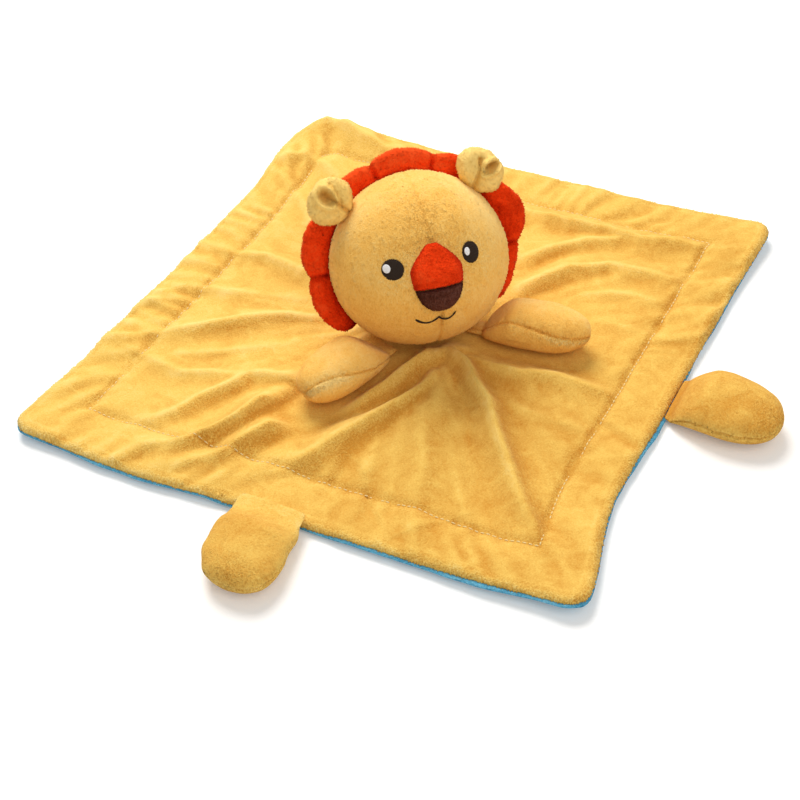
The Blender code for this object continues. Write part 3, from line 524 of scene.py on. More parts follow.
def thread_material(name):
    colours = bpy.context.scene.lovey_colours
    dark, white, topstitch = colours.dark_thread, colours.white_thread, colours.topstitch
    # each thread finish: its base, its painted highlight, the turn and count of its threads, and the depth of their
    # relief
    base, shine, turn, threads, height = {
        "dark_satin": (dark, (mix(part, 0.07, 0.25) for part in dark), 60, 520.0, 0.0002),
        "white_satin": ((part * 0.86 for part in white), white, 60, 520.0, 0.0002),
        "topstitch_thread": ((part * 0.8 for part in topstitch), topstitch, 20, 700.0, 0.0001),
    }[name]
    values = ((*base, 1.0), (*shine, 1.0), math.radians(turn), threads)
    return patterned_material(name, thread_group(), values, 0.8, height, Roughness=0.50, Specular_IOR_Level=0.10)


def shared_material(name):
    """The plush and thread finishes, each made when a piece first needs it."""
    found = bpy.data.materials.get(name)
    if found:
        return found
    return plush_material(name) if name in PLUSH_FINISHES else thread_material(name)


# Pieces

def add_piece(name, bm, material, body, replaced=()):
    """Closes a bmesh and makes it a named piece on its body; a piece given two bodies is left where it is, on neither.
    """
    bmesh.ops.remove_doubles(bm, verts=bm.verts[:], dist=MERGE_DISTANCE)
    bmesh.ops.dissolve_degenerate(bm, edges=bm.edges[:], dist=MERGE_DISTANCE)
    bmesh.ops.recalc_face_normals(bm, faces=bm.faces[:])
    mesh = bpy.data.meshes.new(name)
    bm.to_mesh(mesh)
    bm.free()
    mesh.shade_smooth()
    mesh.materials.append(shared_material(material))
    piece = bpy.data.objects.new(name, mesh)
    bpy.context.scene.collection.objects.link(piece)
    if isinstance(body, str):
        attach(piece, body)
    else:
        still, moving, start, end = body
        tuple(start)
        tuple(end)
        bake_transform(piece)
    if replaced:
        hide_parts(*replaced)
    return piece


def tracked_bmesh():
    """A bmesh whose points carry how much their pile is darkened, by its seams and by painted shade, or lightened by
    painted highlights, and how much the pile is parted.
    """
    bm = bmesh.new()
    return bm, bm.verts.layers.float.new("seam"), bm.verts.layers.float.new("nap")


def raise_pile(bm, seam, nap, length, share, seed):
    """Draws the middles of many small faces out into tufts: share gives how many for a nap."""
    chooser = random.Random(seed)
    chosen = []
    for face in bm.faces:
        brushed = sum(vert[nap] for vert in face.verts) / len(face.verts)
        if chooser.random() < share(brushed):
            chosen.append(face)
    tips = bmesh.ops.poke(bm, faces=chosen)["verts"]
    bm.normal_update()
    for tip in tips:
        around = [edge.other_vert(tip) for edge in tip.link_edges]
        # each tip takes the tone of the points round it, painted lighter: a painted highlight on the tips
        tip[seam] = sum(vert[seam] for vert in around) / len(around) - 0.35
        tip[nap] = sum(vert[nap] for vert in around) / len(around)
        jitter = Vector((chooser.uniform(-1, 1), chooser.uniform(-1, 1), chooser.uniform(-1, 1)))
        tip.co += (tip.normal + jitter * 0.55 + COMB).normalized() * length * chooser.uniform(0.35, 1.0)


def closed_web(bm, columns, rows):
    """A grid over two shares, whose second share runs round a closed section."""
    bmesh.ops.create_grid(bm, x_segments=columns, y_segments=rows, size=1.0)
    return [(vert, (vert.co.x + 1) / 2, (vert.co.y + 1) / 2) for vert in bm.verts]


# Blanket

def ridge_segments(ridges):
    """Each path as a width, the box that it can reach, and its straight runs."""
    found = []
    for width, path in ridges:
        runs = []
        for (ax, ay, first), (bx, by, second) in zip(path, path[1:]):
            ax, ay, bx, by = (value * HALF_SIDE for value in (ax, ay, bx, by))
            runs.append((ax, ay, bx - ax, by - ay, (bx - ax) ** 2 + (by - ay) ** 2, first, second))
        across = [place[0] * HALF_SIDE for place in path]
        along = [place[1] * HALF_SIDE for place in path]
        box = (min(across) - FOLD_REACH, max(across) + FOLD_REACH, min(along) - FOLD_REACH, max(along) + FOLD_REACH)
        found.append((width * HALF_SIDE, box, runs))
    return found


MAIN_SEGMENTS = ridge_segments(MAIN_FOLDS)
FINE_SEGMENTS = ridge_segments(FINE_FOLDS)
CREASE_SEGMENTS = ridge_segments(CREASES)


def nearest(x, y, runs):
    """Distance to a path, the height share there, and -1 to 1 from its near side to its back left side."""
    best = 1e9
    height = 0.0
    behind = 0.0
    for ax, ay, dx, dy, square, first, second in runs:
        share = ((x - ax) * dx + (y - ay) * dy) / square
        share = 0.0 if share < 0 else 1.0 if share > 1 else share
        off_x = x - ax - dx * share
        off_y = y - ay - dy * share
        away = off_x * off_x + off_y * off_y
        if away < best:
            best = away
            height = first + (second - first) * share
            behind = 0.94 * off_y - 0.35 * off_x
    best = math.sqrt(best)
    return best, height, behind / max(best, 1e-9)


def rises(x, y, segments):
    """The height of each fold that reaches a place, steeper on its near side."""
    found = []
    for width, box, runs in segments:
        if box[0] < x < box[1] and box[2] < y < box[3]:
            distance, share, behind = nearest(x, y, runs)
            spread = width * mix(FOLD_STEEP_SIDE, FOLD_GENTLE_SIDE, (behind + 1) / 2)
            broad = math.exp(-(distance / spread) ** FOLD_SHARPNESS)
            crest = math.exp(-(distance / (spread * CREST_WIDTH_SHARE)) ** FOLD_SHARPNESS)
            found.append(share * FOLD_UNIT * mix(broad, crest, CREST_SHARE))
    return found


def pressed_share(x, y):
    """1 where the head, an arm or a foot keeps the cloth down, and 0 well away from them."""
    pressed = 1 - smooth(from_head(x, y) / NECK_RADIUS * 2 - 1)
    for name, limb in LIMBS.items():
        base = limb.place.translation
        if name.startswith("foot"):
            distance = math.hypot(x - base.x, y - base.y)
        else:
            run = limb.place.col[0]
            share = min(max((x - base.x) * run.x + (y - base.y) * run.y, 0.0), limb.length)
            distance = math.hypot(x - base.x - run.x * share, y - base.y - run.y * share)
            distance += 0.4 * limb.half_width
        pressed = max(pressed, 1 - smooth(distance / limb.half_width - 1))
    return pressed


def underside(x, y, inset):
    """The height of the blanket's underside, in the same folds as the solids or fuller ones."""
    moved_x = x + FOLD_WAVER * rough((x, y, 0.0), FOLD_WAVER_SCALE, 41.0)
    moved_y = y + FOLD_WAVER * rough((x, y, 0.0), FOLD_WAVER_SCALE, 43.0)
    height = max(rises(moved_x, moved_y, MAIN_SEGMENTS), default=0.0)
    height += sum(rises(moved_x, moved_y, FINE_SEGMENTS))
    for width, box, runs in CREASE_SEGMENTS:
        if box[0] < x < box[1] and box[2] < y < box[3]:
            distance, share, _ = nearest(moved_x, moved_y, runs)
            height *= 1 - share * math.exp(-(distance / width) ** 1.4)
    corner_distance = HALF_SIDE * math.sqrt(2)
    for (side_x, side_y), share in CORNER_LIFT_SHARES:
        away = math.hypot(x - side_x * corner_distance, y - side_y * corner_distance)
        height += share * CORNER_LIFT * max(0.0, 1 - away / CORNER_REACH) ** 2
    height = max(height, NECK_RISE * bell(from_head(x, y) - NECK_RADIUS, NECK_RISE_WIDTH))
    height += EDGE_LIFT * smooth(1 - inset / BORDER_WIDTH)
    free = 1 - pressed_share(x, y)
    return max(0.0, height * free - REST_CUT), free


def bowed_out(beside, place, plus_edge, minus_edge):
    """How far the nearer of two opposite edges takes a point with it, by its bow at a place along it."""
    bows = EDGE_BOW_SHARES[plus_edge if beside > 0 else minus_edge]
    share = min(max((place / HALF_SIDE + 1) / 2, 0.0), 1.0) * (len(bows) - 1)
    index = min(int(share), len(bows) - 2)
    bow = EDGE_BOW * mix(bows[index], bows[index + 1], smooth(share - index))
    return math.copysign(1.0, beside) * bow * smooth(abs(beside) / HALF_SIDE * 2 - 1)


def blanket_plan(along, across, reach):
    """A place in plan from two shares of the square, -1 to 1: reach grows the edge outwards."""
    back = along < 0 < across
    start = 1 - (BACK_CORNER_RADIUS if back else FRONT_CORNER_RADIUS) / HALF_SIDE
    far_along = (abs(along) - start) / (1 - start)
    far_across = (abs(across) - start) / (1 - start)
    if far_along > 0 and far_across > 0:
        drawn = max(far_along, far_across) / math.hypot(far_along, far_across)
        along = math.copysign(start + (1 - start) * far_along * drawn, along)
        across = math.copysign(start + (1 - start) * far_across * drawn, across)
    grown = HALF_SIDE + reach
    along *= grown
    across *= grown
    along, across = (along + bowed_out(along, across, "front_right", "back_left"),
                     across + bowed_out(across, along, "back_right", "front_left"))
    return (along + across) / math.sqrt(2), (across - along) / math.sqrt(2)


def fine_relief(x, y, inset):
    """Wrinkles, gathers at the neck and puckers at the stitching, above the main folds."""
    sizes = bpy.context.scene.lovey_sizes
    turn = math.atan2(y - HEAD_Y, x - HEAD_X)
    away = from_head(x, y)
    broad = rough((x, y, 0.0), 0.042, 3.1) * 1.3
    radial = rays(turn, 3.2, away / 0.10, 5.0) + 0.6 * rays(turn, 7.0, away / 0.05, 9.0)
    height = sizes.wrinkle_height * (broad + radial * 1.3)
    gathers = math.sin(turn * NECK_GATHERS + 3.0 * rough((x, y, 0.0), 0.03, 7.7))
    height += NECK_GATHER_RELIEF * gathers * bell(away - 0.038, 0.012) * behind_head(y, 0.04)
    height += sizes.wrinkle_height * 0.8 * rays(turn, 14, away / 0.04)
    lee = smooth(0.5 + 0.5 * (0.8 * y - 0.6 * x) / HALF_SIDE)
    border = smooth(inset / 0.003) * smooth((BORDER_WIDTH * 1.35 - inset) / 0.012)
    pleats = math.sin(turn * BORDER_PLEATS + 9.0 * rough((x, y, 0.0), 0.050, 51.0))
    pleats *= (0.55 + 0.9 * rough((x, y, 0.0), 0.045, 55.0)) * mix(0.70, 1.20, lee)
    ripple = rays(turn, 12.0, away / 0.045) + 0.5 * rays(turn, 24.0, away / 0.025, 17.0)
    height += sizes.pucker_height * (0.34 * pleats + 0.85 * ripple) * border
    height += BORDER_SWELL * math.sin(math.pi * min(inset / BORDER_WIDTH, 1.0))
    return height


def stitch_dip(inset):
    """How far the topstitching draws the top layer in."""
    off = inset - BORDER_WIDTH
    return STITCH_DIP * bell(off, STITCH_DIP_WIDTH) + STITCH_HOLLOW * bell(off, STITCH_HOLLOW_WIDTH)


def top_height(x, y, inset):
    """The upper face of the yellow layer, and the underside below it."""
    low, free = underside(x, y, inset)
    away = from_head(x, y)
    height = low + LAYERS + fine_relief(x, y, inset) * free
    height -= stitch_dip(inset)
    height -= NAPE_DIP * bell(away - 0.028, 0.011) * behind_head(y, 0.02)
    height += NECK_GATHER_HEIGHT * max(0.0, 1 - away / (0.09 * HALF_SIDE)) * 0.6
    return height, low


def rim_share(inset, width):
    """How much of its thickness a layer keeps near the edge, rounded as a fold is."""
    return 1.0 if inset >= width else quarter_round(inset / width)


def top_wander(along, across):
    return 0.0


def backing_wander(along, across):
    """How far the backing's edge shows past the top: unevenly, most at the near corner and least behind."""
    place = (along, across, 0.0)
    wander = BACKING_REACH * (0.5 + 0.9 * rough(place, 0.03, 21.0) + 0.5 * rough(place, 0.010, 23.0))
    wander += EDGE_CURL * bell(math.hypot(along - HALF_SIDE, across + 0.030), 0.030)
    wander += EDGE_CURL * 0.6 * bell(math.hypot(along - 0.110, across + HALF_SIDE), 0.045)
    wander += 0.0008 * smooth((-across - 0.145) / 0.020)
    return wander - 0.0016 * smooth(0.5 + (across - along) / HALF_SIDE)


def make_sheet(name, cells, wander, faces, material, node):
    """A closed sheet: wander moves its edge, and faces gives its under and upper side, with their tone and nap; the
    tone carries painted highlights on crests and painted shade in valleys and on slopes facing the front.
    """
    bm, seam, nap = tracked_bmesh()
    bmesh.ops.create_grid(bm, x_segments=cells, y_segments=cells, size=1.0)
    shares = {vert: vert.co.copy() for vert in bm.verts}
    grown = bmesh.ops.extrude_face_region(bm, geom=bm.faces[:], use_keep_orig=True)
    upper = [item for item in grown["geom"] if isinstance(item, bmesh.types.BMVert)]
    shares.update((vert, vert.co.copy()) for vert in upper)
    lifted = set(upper)
    cell_of = {vert: tuple(round((value + 1) / 2 * cells) for value in share.xy) for vert, share in shares.items()}
    places = {}
    for vert, share in shares.items():
        if cell_of[vert] not in places:
            along, across = (math.copysign(abs(value) ** EDGE_CROWDING, value) for value in share.xy)
            x, y = blanket_plan(along, across, wander(along * HALF_SIDE, across * HALF_SIDE))
            inset = inset_of(along, across)
            places[cell_of[vert]] = (x, y, inset, *faces(x, y, inset))
    near = round(cells * CREST_STEP_SHARE)
    for vert, (row, column) in cell_of.items():
        x, y, inset, low, high, pressed, parted = places[(row, column)]
        vert.co = (x, y, high if vert in lifted else low)
        around = [places.get((row + near * right, column + near * up), places[(row, column)])[4]
                  for right, up in ((1, 0), (-1, 0), (0, 1), (0, -1))]
        # painted highlights on the crests and painted shade in the valleys, from each cell's height against the cells
        # around it, less at the stitching
        crest = min(max((high - sum(around) / 4) / 0.0010, -1.0), 1.0)
        crest *= 1 - 0.90 * bell(inset - BORDER_WIDTH, 0.010)
        vert[seam] = pressed - (0.40 if crest > 0 else 0.45) * crest
        vert[nap] = parted
    bm.normal_update()
    for vert in bm.verts:
        # painted shade on slopes that face the front and right, painted highlights on slopes that face the back and
        # left, less near the head
        facing = -vert.normal.y * 0.9 + vert.normal.x * 0.4
        open_share = mix(0.35, 1.0, smooth((from_head(vert.co.x, vert.co.y) - 0.035) / 0.05))
        vert[seam] += (0.40 * smooth((facing - 0.04) / 0.5) - 0.22 * smooth((-facing - 0.04) / 0.4)) * open_share
        vert[nap] = min(1.0, vert[nap] + 0.5 * smooth((facing - 0.08) / 0.5))
    raise_pile(bm, seam, nap, BLANKET_TUFT, lambda brushed: 0.75 if brushed > 0.85 else 0.0, 31)
    piece = add_piece(name, bm, material, "blanket", (node,))
    return piece


def top_faces(x, y, inset):
    high, low = top_height(x, y, inset)
    floor = low + BACKING_THICKNESS + SEAM_GAP
    high = max(high, floor + 0.0008)
    upper = mix(floor + 0.0004, high, rim_share(inset, 0.0040))
    lower = min(floor, upper - 0.0003)
    # The tone: darker in the stitching's groove, pressed pile and painted shade; a painted highlight along the very
    # edge; painted shade that deepens toward the front and slightly toward the right; and a little more darkening
    # toward the right.
    brushed = smooth(0.40 + 0.9 * (0.20 * x - 0.80 * y) / HALF_SIDE)
    pressed = 0.4 * bell(inset - BORDER_WIDTH, 0.0010) - 0.7 * bell(inset, 0.0026) + 0.42 * brushed
    pressed += 0.04 * smooth((x - 0.02) / 0.10)
    parted = bell(inset, 0.0038) + 0.35 * bell(inset - BORDER_WIDTH, 0.004)
    return lower, upper, pressed, parted


def backing_faces(x, y, inset):
    low, _ = underside(x, y, inset)
    ripple = 0.0003 * rough((x, y, 0.0), 0.012, 31.0)
    upper = low + BACKING_THICKNESS
    lower = mix(upper - 0.0004, max(low + ripple, 0.0), rim_share(inset, 0.0035))
    return lower, upper, 0.0, 0.3


def border_line(run, side):
    """A point of the border's stitching, in shares of the square: run is -1 to 1 along a side."""
    share = 1 - BORDER_WIDTH / HALF_SIDE
    return {0: (share, run * share), 1: (-share, run * share), 2: (run * share, share), 3: (run * share, -share)}[side]


def make_topstitch():
    """Small stitches in a row along the border."""
    sizes = bpy.context.scene.lovey_sizes
    bm = tracked_bmesh()[0]
    length = 2 * (HALF_SIDE - BORDER_WIDTH)
    count = int(length / sizes.stitch_pitch)
    for side in range(4):
        for index in range(count):
            middle = 2 * (index + 0.5) / count - 1
            ends = []
            for shift in (-STITCH_HALF_SHARE, STITCH_HALF_SHARE):
                along, across = border_line(middle + shift * 2 / count, side)
                x, y = blanket_plan(along, across, 0.0)
                ends.append(Vector((x, y, top_height(x, y, inset_of(along, across))[0])))
            run = ends[1] - ends[0]
            made = bmesh.ops.create_uvsphere(bm, u_segments=6, v_segments=5, radius=1.0)
            turned = run.to_track_quat("Z", "Y").to_matrix().to_4x4()
            sized = Matrix.Diagonal((sizes.stitch_width / 2, sizes.stitch_width / 2, run.length / 2, 1.0))
            middle_place = (ends[0] + ends[1]) / 2 + Vector((0.0, 0.0, STITCH_PROUD))
            bmesh.ops.transform(bm, matrix=Matrix.Translation(middle_place) @ turned @ sized, verts=made["verts"])
    return add_piece("border_stitching", bm, "topstitch_thread", "blanket")


# Head, in its own frame: X to the right, Y to the back, Z up, and the origin in its middle

def cheek(height):
    return 1 - CHEEK_SHARE * height / HEAD_HALF_HEIGHT


def face_depth(x, z):
    flat = (x / (HEAD_HALF_WIDTH * cheek(z))) ** 2 + (z / HEAD_HALF_HEIGHT) ** 2
    return HEAD_HALF_DEPTH * math.sqrt(max(0.0, 1 - flat))


def face_swell(x, z):
    """The muzzle and the cheeks stand out a little, and the plush dips round the eyes."""
    swell = 0.0022 * bell(math.hypot(x + 0.001, (z + 0.018) * 1.1), 0.017)
    swell += 0.0010 * (bell(math.hypot(x + 0.026, z + 0.012), 0.015) + bell(math.hypot(x - 0.026, z + 0.012), 0.015))
    for side in (-1, 1):
        swell -= 0.0009 * bell(math.hypot(x - side * EYE_OFFSET, z - EYE_HEIGHT), 0.0078)
    return swell


def face_front(x, z):
    return face_depth(x, z) + face_swell(x, z)


def head_ring_radius(angle, along):
    girth = math.sqrt(max(0.0, 1 - (along / HEAD_HALF_DEPTH) ** 2))
    radius = HEAD_HALF_HEIGHT * girth
    for _ in range(4):
        width = HEAD_HALF_WIDTH * cheek(radius * math.cos(angle))
        radius = girth / math.hypot(math.sin(angle) / width, math.cos(angle) / HEAD_HALF_HEIGHT)
    return radius


def make_head_cover():
    sizes = bpy.context.scene.lovey_sizes
    bm, seam, nap = tracked_bmesh()
    bmesh.ops.create_uvsphere(bm, u_segments=264, v_segments=160, radius=1.0)
    for vert in bm.verts:
        # poles on Y, and the web drawn together at the seams
        polar = math.acos(min(max(vert.co.z, -1.0), 1.0))
        polar += 0.28 * math.sin(2 * polar)
        angle = math.atan2(vert.co.y, vert.co.x)
        angle += 0.35 * math.sin(2 * angle)
        along = -math.cos(polar)
        girth = math.sin(polar)
        height = HEAD_HALF_HEIGHT * girth * math.sin(angle)
        width = HEAD_HALF_WIDTH * girth * math.cos(angle) * cheek(height)
        place = Vector((width, HEAD_HALF_DEPTH * along, height))
        outward = Vector((width / HEAD_HALF_WIDTH ** 2, along / HEAD_HALF_DEPTH, height / HEAD_HALF_HEIGHT ** 2))
        outward.normalize()
        off = 0.0
        if along < 0:
            place.y -= face_swell(width, height) * smooth(-along * 3)
        pucker = rough(place, 0.0035, 2.0)
        middle = bell(width, 0.0011)
        wide = bell(width, 0.0036)
        ring = bell(place.y - HEAD_SEAM_BACK, 0.0016)
        ring_wide = bell(place.y - HEAD_SEAM_BACK, 0.006)
        chin = smooth(-height / 0.010)
        off -= sizes.seam_depth * (mix(0.30, 0.8, chin) * middle + mix(0.15, 0.5, chin) * wide)
        off -= sizes.seam_depth * (0.9 * ring + 0.4 * ring_wide)
        off += 0.00028 * pucker * (wide + ring_wide)
        off += 0.00055 * rough(place, 0.022, 4.0) + 0.00022 * rough(place, 0.007, 6.0)
        place += outward * off
        under = HEAD_ATTITUDE @ outward
        if under.z < -0.80:
            place += outward * (-0.0006 * smooth((-under.z - 0.80) / 0.15))
        vert.co = HEAD_PLACE @ place
        # darker along the middle and ring seams, partly their pressed pile and partly painted shade in their grooves,
        # most under the chin; then painted highlights toward the +X side and round the upper outer face
        vert[seam] = min(1.0, mix(0.18, 0.45, chin) * middle + 0.7 * ring)
        vert[seam] -= (0.50 * smooth((width - 0.012) / 0.025)
                       + 0.35 * smooth((girth - 0.70) / 0.25) * smooth(height / 0.03))
        eyes = max(bell(math.hypot(width - side * EYE_OFFSET, height - EYE_HEIGHT), 0.010) for side in (-1, 1))
        muzzle = bell(math.hypot(width, height + 0.006), 0.022)
        brow = bell(math.hypot(width, (height - 0.020) * 0.7), 0.013)
        vert[nap] = min(0.8, 0.08 + 0.45 * eyes + 0.38 * muzzle + 0.26 * brow) if along < 0 else 0.1
    raise_pile(bm, seam, nap, HEAD_TUFT, lambda brushed: 0.10 + 0.60 * brushed, 3)
    cover = add_piece("head_cover", bm, "stuffed_pile", "head",
                      ("face_left", "face_right", "head_back_left", "head_back_right", "head_filling"))


# Mane

def mane_reach(share):
    place = min(max(share * MANE_LOBES - 0.5, 0.0), MANE_LOBES - 1)
    index = min(int(place), MANE_LOBES - 2)
    return MANE_RADIUS * mix(MANE_REACH_SHARES[index], MANE_REACH_SHARES[index + 1], smooth(place - index))


def make_mane_ring():
    """A padded, scalloped ring: the second share of the web runs round its section."""
    bm, seam, nap = tracked_bmesh()
    for vert, share, turn in closed_web(bm, MANE_LOBES * 44, 56):
        angle = mix(MANE_LEFT_END, MANE_HALF_SPAN, share)
        ripple = abs(math.sin(math.pi * MANE_LOBES * share))
        end = min(min(share, 1 - share) * MANE_LOBES * 2, 1.0)
        end_round = quarter_round(end)
        outer = mane_reach(share) - MANE_NOTCH * (1 - ripple ** 0.7)
        outer += (0.0011 * noise.noise(Vector((share * 30.0, 3.0, 1.0)))
                  + 0.0005 * noise.noise(Vector((share * 90.0, 5.0, 2.0))))
        inner = head_ring_radius(angle, HEAD_SEAM_BACK - PLUSH_THICKNESS) - 0.0012
        around = 2 * math.pi * turn
        across = (1 - math.cos(around)) / 2
        across = mix(across, smooth(across), 0.3)
        half = MANE_HALF_THICKNESS * mix(MANE_CREASE_SHARE, 1.0, ripple ** 0.6)
        crown = math.sin(around)
        thick = half * math.copysign(abs(crown) ** 0.95, crown) * mix(0.45, 1.0, end_round) * min(1.0, end * 12)
        radius = mix(inner, inner + (outer - inner) * mix(0.55, 1.0, end_round), across)
        place = Vector((radius * math.sin(angle), HEAD_SEAM_BACK - thick, radius * math.cos(angle)))
        crease = bell(ripple, 0.13) * (1.0 - 0.35 * across)
        fold_line = bell(math.sin(share * MANE_LOBES * math.pi * 2.0 + 9.0 * across + 1.0), 0.22) * (1 - across) * 0.6
        inner_pull = bell(across, 0.10)
        shaded = bell(across, 0.42)
        gathers = math.sin(share * MANE_LOBES * 2 * math.pi * 4.3 + 2.0 * rough(place, 0.02, 8.0))
        lumps = 0.0012 * rough(place, 0.012, 12.0) + 0.0006 * rough(place, 0.005, 14.0)
        side = -1.0 if crown > 0 else 1.0
        full = abs(crown)
        place.y += side * full * (lumps + 0.0007 * gathers * inner_pull - 0.0030 * crease - 0.0018 * fold_line)
        rim = bell(1 - across, 0.02)
        vert.co = HEAD_PLACE @ place
        # painted shade in the notches, along the fold lines, at the inner edge and across the inner half, a painted
        # highlight on the outer rim, and a painted highlight over the top
        painted_mane_light = 0.9 * crease + 0.6 * fold_line + 0.5 * inner_pull + 0.6 * shaded - 0.5 * rim
        vert[seam] = min(1.0, painted_mane_light) - 0.85 * max(math.cos(angle), 0.0) ** 2
        vert[nap] = 0.06 + 0.3 * rim
    raise_pile(bm, seam, nap, MANE_TUFT, lambda brushed: 0.16 + 1.2 * brushed, 5)
    ring = add_piece("mane_ring", bm, "red_pile", "head",
                     ("mane_front", "mane_back", "mane_wadding"))


# Ears, each in its own frame: X across it, Y to the back, Z away from the head

def ear_seat(angle, x, y):
    girth = head_ring_radius(angle, 0.0)
    radius = head_ring_radius(angle + math.asin(min(max(x / girth, -1.0), 1.0)), y)
    return math.sqrt(max(0.0, radius * radius - x * x)) - girth


EarLook = namedtuple("EarLook", "middle half hollow hollow_half hollow_turn creases")
EAR_LOOKS = {
    "left": EarLook((0.0, 0.0110), (0.0134, 0.0088, 0.0122), (0.0006, 0.0044), (0.0028, 0.0036), 0.20, (
        ((0.0010, 0.0010), (0.0012, -0.0050), (0.0005, -0.0120)),
        ((0.0075, 0.0062), (0.0058, 0.0008), (0.0026, -0.0043)))),
    "right": EarLook((-0.0014, 0.0096), (0.0140, 0.0088, 0.0114), (0.0030, 0.0050), (0.0020, 0.0038), 0.45, (
        ((-0.0045, 0.0046), (-0.0016, -0.0003), (0.0024, -0.0110)),
        ((0.0040, 0.0020), (0.0010, -0.0016), (-0.0006, -0.0014)))),
}


def line_distance(x, z, places):
    best = 1.0
    for (ax, az), (bx, bz) in zip(places, places[1:]):
        run = (bx - ax) ** 2 + (bz - az) ** 2
        share = min(max(((x - ax) * (bx - ax) + (z - az) * (bz - az)) / run, 0.0), 1.0)
        best = min(best, math.hypot(x - mix(ax, bx, share), z - mix(az, bz, share)))
    return best


def make_ear(word, side):
    """A thick roll of plush: plump lips round a small hollow, drawn in along its creases."""
    look = EAR_LOOKS[word]
    bm, seam, nap = tracked_bmesh()
    angle = side * EAR_ANGLE
    radius = head_ring_radius(angle, 0.0)
    root = Matrix.Translation((radius * math.sin(angle), 0.0, radius * math.cos(angle)))
    placed = HEAD_PLACE @ root @ Matrix.Rotation(angle, 4, "Y")
    bmesh.ops.create_uvsphere(bm, u_segments=168, v_segments=120, radius=1.0)
    for vert in bm.verts:
        # the poles lie on Y, so that the hollow has the finest web
        polar = math.acos(min(max(vert.co.z, -1.0), 1.0))
        turn = math.atan2(vert.co.y, vert.co.x)
        girth = math.sin(polar)
        flat_x, flat_z, deep = girth * math.cos(turn), girth * math.sin(turn), math.cos(polar)
        x = look.half[0] * math.copysign(abs(flat_x) ** 0.92, flat_x) * mix(0.90, 1.0, smooth((flat_z + 1) / 0.9))
        z = look.half[2] * math.copysign(abs(flat_z) ** 0.92, flat_z)
        y = -look.half[1] * deep
        front = smooth(deep * 2.5)
        away_x, away_z = x - look.hollow[0], z - look.hollow[1]
        across = away_x * math.cos(look.hollow_turn) - away_z * math.sin(look.hollow_turn)
        along = away_x * math.sin(look.hollow_turn) + away_z * math.cos(look.hollow_turn)
        hollow = math.hypot(across / look.hollow_half[0], along / look.hollow_half[1])
        deep_hollow = math.exp(-hollow ** 2.4)
        y += front * (0.0090 * deep_hollow - 0.0020 * bell(hollow - 1.9, 0.6))
        crease = 0.0
        crease_wide = 0.0
        for index, places in enumerate(look.creases):
            distance = line_distance(x, z, places)
            crease = max(crease, bell(distance, 0.0011) * (1.0 - 0.3 * index))
            crease_wide = max(crease_wide, bell(distance, 0.0034) * (1.0 - 0.3 * index))
        y += front * (0.0024 * crease + 0.0018 * crease_wide) * (1 - deep_hollow)
        place = Vector((x + look.middle[0], y - EAR_HALF_DEPTH - EAR_FORWARD, z + look.middle[1]))
        outward = Vector((flat_x, -deep, flat_z))
        spot = place + Vector((side * 0.1, 0.0, 0.0))
        place += outward * (0.0008 * rough(spot, 0.008, 5.0) + 0.0004 * rough(spot, 0.003, 7.0))
        foot = ear_seat(angle, place.x, place.y) - 0.0008
        base = bell(max(place.z - foot, 0.0), 0.0022)
        place.z = max(place.z, foot)
        vert.co = placed @ place
        # painted shade in the hollow, along the creases and at the base against the head, and the whole ear painted
        # lighter, painted light on it
        vert[seam] = min(1.0, front * (0.95 * deep_hollow + 1.05 * crease + 0.40 * crease_wide) + 0.5 * base) - 0.80
        vert[nap] = min(1.0, 0.06 + 0.4 * crease_wide + 0.25 * bell(hollow - 1.5, 0.5))
    raise_pile(bm, seam, nap, EAR_TUFT, lambda brushed: 0.09, 7 + side)
    ear = add_piece("ear_%s_roll" % word, bm, "ear_pile",
                    ("head", "ear_" + word, placed @ Vector((0.0, 0.0, -0.001)), placed @ Vector((0.0, 0.0, 0.008))),
                    ("ear_%s_front" % word, "ear_%s_back" % word))
    return ear


# Nose, eyes and mouth, on the face

def nose_half_width(z):
    """A rounded house: a blunt top, wide shoulders and a round tip."""
    if z > NOSE_SHOULDER:
        share = max(0.0, (NOSE_TOP - z) / (NOSE_TOP - NOSE_SHOULDER))
        return NOSE_HALF_WIDTH * math.sin(math.pi / 2 * mix(0.17, 1.0, share ** 1.25))
    share = max(0.0, (z - NOSE_BOTTOM) / (NOSE_SHOULDER - NOSE_BOTTOM))
    return mix(NOSE_TIP_HALF_WIDTH, NOSE_HALF_WIDTH, smooth(share)) * math.sqrt(1 - (1 - share) ** 4)


def nose_crown(z):
    rise = smooth((NOSE_TOP - z) / (NOSE_TOP - NOSE_SPLIT) / 0.9)
    down = max(0.0, (NOSE_SPLIT - z) / (NOSE_SPLIT - NOSE_BOTTOM))
    fall = math.sqrt(max(0.0, 1 - down ** 2.5))
    return mix(NOSE_APEX_PROUD, NOSE_PROUD, rise) * fall


